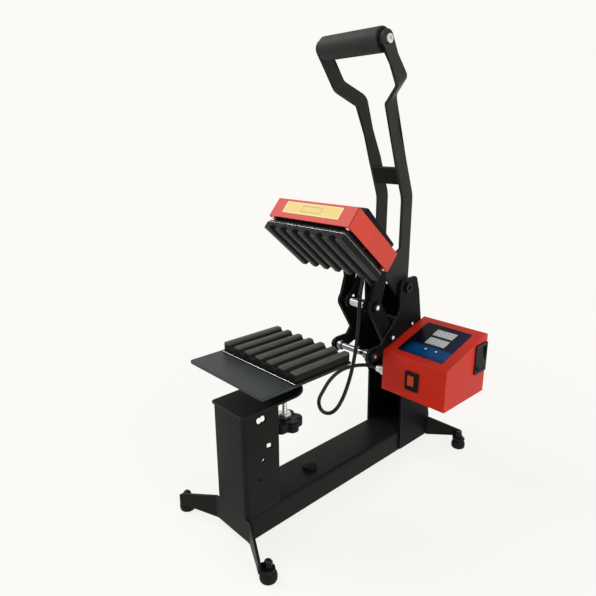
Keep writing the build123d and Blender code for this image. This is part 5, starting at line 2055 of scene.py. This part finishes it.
@dataclass
class HeatedHead:
    """The red head: arms, tray, cover, blank label, pad plate and upper pad."""

    front: float = -123.0
    rear: float = -34.7
    half: float = 61.7
    low: float = 224.2
    pad_front: float = -121.5
    pad_top: float = 217.5
    pad_height: float = 9.5
    highlight_width: float = 0.8
    lug: float = 4.5
    tray_middle: float = -60.0
    tray_reach: float = 7.0
    shaft: Spot = (42.0, 228.5)
    shaft_out: float = 29.7

    def long_tray(self, work: Work) -> None:
        """Draw the tray's rear part back over the cover.

        Args:
            work: The mesh in work.
        """
        for vert in work.verts:
            if head_closed(vert.co)[0] > self.tray_middle:
                vert.co += HEAD_BACK * (self.tray_reach * MM)

    def lower_edge(self, place: Vector, normal: Vector) -> bool:
        """Whether a spot on the pad plate's edge is on the rim next to the pad, which keeps the painted
        highlight.
        """
        return head_closed(place)[1] < self.pad_top + self.highlight_width

    def build(self) -> None:
        """Make the head's pieces."""
        for node in ("left_head_arm", "right_head_arm"):
            Softened(node, Look.SHADED_BLACK_STEEL, Look.BLACK_EDGE_HIGHLIGHT, width=0.5).build()
        Softened("head_tray", Look.SHADED_BLACK_STEEL, Look.BLACK_EDGE_HIGHLIGHT, width=0.5, reshape=self.long_tray).build()
        Softened("heater_cover", Look.COVER, width=0.4).build()
        # The pad plate's body is aluminium with painted shade, its lower rim a painted highlight
        Softened("pad_plate", Look.SHADED_ALUMINIUM, Look.ALUMINIUM, width=0.35, highlit_edge=self.lower_edge).build()
        Softened("label_plate", Look.LABEL, width=0.12, steps=1).build()
        Softened("cross_shaft", Look.CHROME, width=0.3).build()
        Softened("cross_shaft_screws", Look.BOLT, width=0.35).build()
        screws = CrossScrews(radius=2.9, height=1.4, slot_width=0.6)
        ends = screws.pair("cross_shaft_screw_heads", self.shaft_out, self.shaft)
        hand_over(ends, "head", "zinc_steel")
        Softened("head_gland", Look.PLASTIC, width=0.3).build()
        dress("heater_studs", Look.BOLT)
        dress("heating_element", Look.ZINC)
        dress("insulation", Look.WOOL)
        # The heater block is aluminium with painted shade
        dress("heater_block", Look.SHADED_ALUMINIUM)
        pad = RibbedPad(look=Look.UPPER_PAD).build("upper_pad_ribs", self.pad_height)
        closed = (
            Matrix.Translation(Vector((0.0, self.pad_front, self.pad_top)) * MM)
            @ Matrix.Rotation(math.pi, 4, "Y")
            @ Matrix.Rotation(math.pi / 2, 4, "X")
        )
        settle(pad, head_matrix(closed))
        hand_over(pad, "head", "silicone_dark", "upper_pen_pad")
        self.screws()

    def screws(self) -> None:
        """Seat the four cover screws, heads down."""
        x = self.half - self.lug
        turn = head_matrix(Matrix.Identity(4))
        seats = [
            turn @ (Vector((side * x, y, self.low)) * MM)
            for side in (-1, 1)
            for y in (self.front + self.lug, self.rear - self.lug)
        ]
        axis = turn.to_3x3() @ Vector((0.0, 0.0, -1.0))
        heads = CrossScrews().build("cover_screw_heads", seats, axis)
        hand_over(heads, "head", "zinc_steel", "cover_screws")


@dataclass
class SwingHandle:
    """The two handle arms with their crossbar and the grip between them."""

    bend: Spot = (103.6, 356.0)
    knee: Spot = (61.0, 465.5)
    grip: Spot = (20.0, 521.0)
    low_x: float = 19.0
    knee_x: float = 21.3
    wide_x: float = 45.0
    jog: Spot = (1.0, 22.0)
    width: float = 18.5
    sheet: float = 4.0
    cut_z: float = 398.0
    corner: float = 4.0
    corner_steps: int = 8
    end_steps: int = 9
    end_turn: float = 10.5
    same_point: float = 2e-5
    sleeve_radius: float = 12.7
    sleeve_solid: float = 15.0

    def rise(self) -> Vector:
        """The way the straight bar leans, in the side view."""
        return Vector((0.0, self.knee[0] - self.bend[0], self.knee[1] - self.bend[1])).normalized()

    def lean(self) -> Vector:
        """The way the bar leans above its knee, in the side view."""
        return Vector((0.0, self.grip[0] - self.knee[0], self.grip[1] - self.knee[1])).normalized()

    def stations(self) -> list[tuple[Vector, Vector, float]]:
        """Follow the bar from the cut to the grip, with its bends rounded.

        Returns:
            For each station its middle in machine millimetres, the way its width runs and half that width.
        """
        rise, lean = self.rise(), self.lean()
        start = Vector((self.low_x, *self.bend)) + rise * ((self.cut_z - self.bend[1]) / rise.z)
        knee = Vector((0.0, *self.knee))
        way = [
            (start, rise),
            (knee + lean * self.jog[0] + Vector((self.knee_x, 0.0, 0.0)), lean),
            (knee + lean * self.jog[1] + Vector((self.wide_x, 0.0, 0.0)), lean),
            (Vector((self.wide_x, *self.grip)), lean),
        ]
        half = self.width / 2
        line = [(start, rise, half)]
        for (before, old), (turn, new), (after, _) in zip(way, way[1:], way[2:]):
            entry = turn + (before - turn).normalized() * self.corner
            leave = turn + (after - turn).normalized() * self.corner
            for i in range(self.corner_steps + 1):
                t = i / self.corner_steps
                spot = entry * (1 - t) ** 2 + turn * 2 * t * (1 - t) + leave * t * t
                line.append((spot, (old * (1 - t) + new * t).normalized(), half))
        end = way[-1][0]
        for i in range(self.end_steps):
            a = math.radians(i * self.end_turn)
            line.append((end + lean * half * math.sin(a), lean, half * math.cos(a)))
        return [(spot, Vector((0.0, run.z, -run.y)), wide) for spot, run, wide in line]

    def section(self, line: Sequence[tuple[Vector, Vector, float]], i: int, side: float) -> list[Vector]:
        """The four corners of the bar at one of its stations.

        Args:
            line: All stations.
            i: The station's number.
            side: One for the right arm, minus one for the left one.

        Returns:
            The corners, in the frame.
        """
        spot, across, half = line[i]
        thick = Vector((1.0, 0.0, 0.0))
        if 0 < i < len(line) - self.end_steps:
            ahead = line[min(i + 1, len(line) - 1)][0] - line[max(i - 1, 0)][0]
            thick = ahead.normalized().cross(across).normalized()
        corners = []
        for u, v in ((-1, -1), (1, -1), (1, 1), (-1, 1)):
            corner = spot + across * (u * half) + thick * (v * self.sheet / 2)
            corners.append(at(side * corner.x, corner.y, corner.z))
        return corners

    def bent(self, side: float) -> Reshape:
        """Make the step that swaps the bar's upper end for one with rounded bends.

        Args:
            side: One for the right arm, minus one for the left one.

        Returns:
            The step, for a mesh in work.
        """

        def step(work: Work) -> None:
            """Cut the bar and sweep its section on to the grip."""
            line = self.stations()
            foot = line[0][0]
            cut_across(work, at(side * foot.x, foot.y, foot.z), self.rise(), clear=True)
            loops = bridged(work, [self.section(line, i, side) for i in range(len(line))])
            work.faces.new(loops[-1])
            bmesh.ops.remove_doubles(work, verts=work.verts, dist=self.same_point)
            bmesh.ops.recalc_face_normals(work, faces=work.faces)

        return step

    def slim(self, work: Work) -> None:
        """Draw the grip in about its own line.

        Args:
            work: The mesh in work.
        """
        share = self.sleeve_radius / self.sleeve_solid
        middle = at(0.0, *self.grip)
        for vert in work.verts:
            vert.co.y = middle.y + (vert.co.y - middle.y) * share
            vert.co.z = middle.z + (vert.co.z - middle.z) * share

    def build(self) -> None:
        """Make the handle's pieces."""
        for node, side in (("left_handle_arm", -1.0), ("right_handle_arm", 1.0)):
            Softened(node, Look.LIT_BAR_STEEL, Look.BLACK_EDGE_HIGHLIGHT, width=0.6, reshape=self.bent(side)).build()
        Softened("handle_crossbar", Look.BLACK_STEEL, Look.BLACK_EDGE_HIGHLIGHT, width=0.6).build()
        Softened("grip_sleeve", Look.GRIP, width=0.8, steps=3, reshape=self.slim).build()
        Softened("grip_core", Look.SHADED_BLACK_STEEL, width=0.3, reshape=self.slim).build()
        Softened("grip_screws", Look.ZINC, width=0.3).build()


@dataclass
class ControlBox:
    """The red box with its sloped panel, display, keys, rocker and inlet."""

    film: float = 0.8
    windows: Sequence[tuple[float, float, float, float]] = (
        (35.0, 63.5, 55.5, 69.5),
        (36.0, 63.5, 37.0, 51.5),
    )
    gland: Spot = (62.0, 140.2)
    gland_end: float = 18.0
    gland_core: float = 3.8
    gland_rib: float = 0.9
    gland_ribs: int = 7
    gland_cut: float = 0.2

    def ribbed(self, work: Work) -> None:
        """Cut round grooves in the gland's sleeve.

        Args:
            work: The mesh in work.
        """
        for i in range(1, self.gland_ribs + 1):
            cut_across(work, at(self.gland_end + self.gland_rib * i, *self.gland), RIGHTWARDS)
        for vert in work.verts:
            local = machine(vert.co)
            step = (local.x - self.gland_end) / self.gland_rib
            off = Vector((0.0, local.y - self.gland[0], local.z - self.gland[1]))
            ring = round(step)
            on_groove = abs(step - ring) < 0.01 and 1 <= ring <= self.gland_ribs and ring % 2
            if on_groove and off.length > self.gland_core:
                vert.co -= off * (self.gland_cut * MM)

    def panel(self) -> Matrix:
        """The matrix from the film's upper face, in metres, to the frame.

        Returns:
            The matrix.
        """
        turn = Matrix.Rotation(math.radians(PANEL_TILT), 4, "X")
        film = Matrix.Translation((0, 0, self.film * MM))
        return Matrix.Translation(at(*PANEL_CORNER)) @ turn @ film

    def build(self) -> None:
        """Make the box's pieces."""
        Softened("control_case", Look.RED_STEEL, Look.RED_EDGE_HIGHLIGHT, width=0.7, steps=3).build()
        Softened("control_base_plate", Look.BLACK_STEEL, width=0.3).build()
        dress("control_board", Look.BOARD)
        Softened("display_membrane", Look.FILM, width=0.15, steps=1).build()
        Softened("display_windows", Look.WINDOW, width=0.15, steps=1).build()
        digits = DigitSegments().build("display_digit_bars", self.windows, self.panel())
        hand_over(digits, "base", "window_pale")
        for node in ("set_key", "adjust_key"):
            Softened(node, Look.KEY, width=0.3).build()
        for node in ("rocker_bezel", "power_rocker"):
            Softened(node, Look.PLASTIC, width=0.5).build()
        Softened("power_inlet", Look.PLASTIC, width=0.3).build()
        FrontLamp().build()
        Softened("box_gland", Look.ZINC, width=0.2, steps=1, reshape=self.ribbed).build()


@dataclass
class Studio:
    """The pale floor, the soft lamps and the camera at the photograph's place.

    Each lamp has its name, its place, its width and its power in watts. The camera's place is in
    machine millimetres, its turns are in degrees, and its focal length is in the photograph's pixels.
    """

    floor_radius: float = 6.0
    sky_colour: Colour = (0.95, 0.97, 1.0)
    sky_strength: float = 0.40
    aim: tuple[float, float, float] = (0.0, 0.0, 0.22)
    lamps: Sequence[tuple[str, tuple[float, float, float], float, float]] = (
        ("key", (-1.25, -0.75, 1.75), 1.3, 23.0),
        ("side", (1.8, -0.2, 1.1), 1.2, 21.0),
        ("front", (0.1, -1.9, 0.9), 1.0, 7.0),
    )
    eye: tuple[float, float, float] = (418.9, -450.5, 428.0)
    yaw: float = 47.14
    pitch: float = 16.71
    roll: float = -0.33
    focal: float = 540.1
    picture: float = 596.0
    sensor: float = 36.0

    def floor(self) -> None:
        """Lay the floor."""
        work = bmesh.new()
        bmesh.ops.create_circle(work, cap_ends=True, segments=96, radius=self.floor_radius)
        piece_of("studio_floor", work, Look.FLOOR)

    def sky(self) -> None:
        """Light the surroundings evenly and show the paper's colour where the backdrop is seen."""
        world = bpy.data.worlds.new("studio")
        bpy.context.scene.world = world
        world.use_nodes = True
        net = Network(world.node_tree)
        net.tree.nodes.clear()
        soft = {0: (*self.sky_colour, 1.0), 1: self.sky_strength}
        ends = [net.out("ShaderNodeBackground", None, light) for light in (soft, {0: (*PAPER, 1.0)})]
        blend = net.out("ShaderNodeMixShader", None, {0: net.seen(), 1: ends[0], 2: ends[1]})
        net.node("ShaderNodeOutputWorld", None, {0: blend})

    def lamp(self, name: str, place: Vector, size: float, power: float) -> None:
        """Hang one soft lamp.

        Args:
            name: The lamp's name.
            place: Where it hangs, in metres.
            size: Its width in metres.
            power: Its power in watts.
        """
        data = bpy.data.lights.new(name, "AREA")
        data.shape = "DISK"
        data.size = size
        data.energy = power
        lamp = bpy.data.objects.new(name, data)
        bpy.context.scene.collection.objects.link(lamp)
        lamp.location = place
        lamp.rotation_euler = (Vector(self.aim) - place).to_track_quat("-Z", "Y").to_euler()

    def camera(self) -> None:
        """Stand the camera where the photograph was taken."""
        data = bpy.data.cameras.new("camera")
        data.sensor_width = self.sensor
        data.lens = self.focal / self.picture * self.sensor
        data.clip_start = 0.02
        data.clip_end = 40.0
        yaw, pitch, roll = (math.radians(a) for a in (self.yaw, self.pitch, self.roll))
        ahead = Vector((-math.sin(yaw) * math.cos(pitch), math.cos(yaw) * math.cos(pitch), -math.sin(pitch)))
        right = Vector((math.cos(yaw), math.sin(yaw), 0.0))
        up = right.cross(ahead)
        turned = right * math.cos(roll) + up * math.sin(roll)
        upright = up * math.cos(roll) - right * math.sin(roll)
        eye = bpy.data.objects.new("camera", data)
        bpy.context.scene.collection.objects.link(eye)
        rows = Matrix((turned, upright, -ahead)).transposed()
        eye.matrix_world = Matrix.Translation(at(*self.eye)) @ rows.to_4x4()
        bpy.context.scene.camera = eye

    def build(self) -> None:
        """Set up floor, light and camera."""
        self.floor()
        self.sky()
        for name, place, size, power in self.lamps:
            self.lamp(name, Vector(place), size, power)
        self.camera()
        bpy.context.scene.view_settings.view_transform = "Standard"


def main() -> None:
    """Build every sub-assembly in order."""
    logging.basicConfig(level=logging.INFO, format="%(name)s %(message)s")
    Studio().build()
    for assembly in (HeaterLead, BaseStand, ScrewLift, ToggleUpright, HeatedHead, SwingHandle, ControlBox):
        assembly().build()


if __name__ == "__main__":
    main()
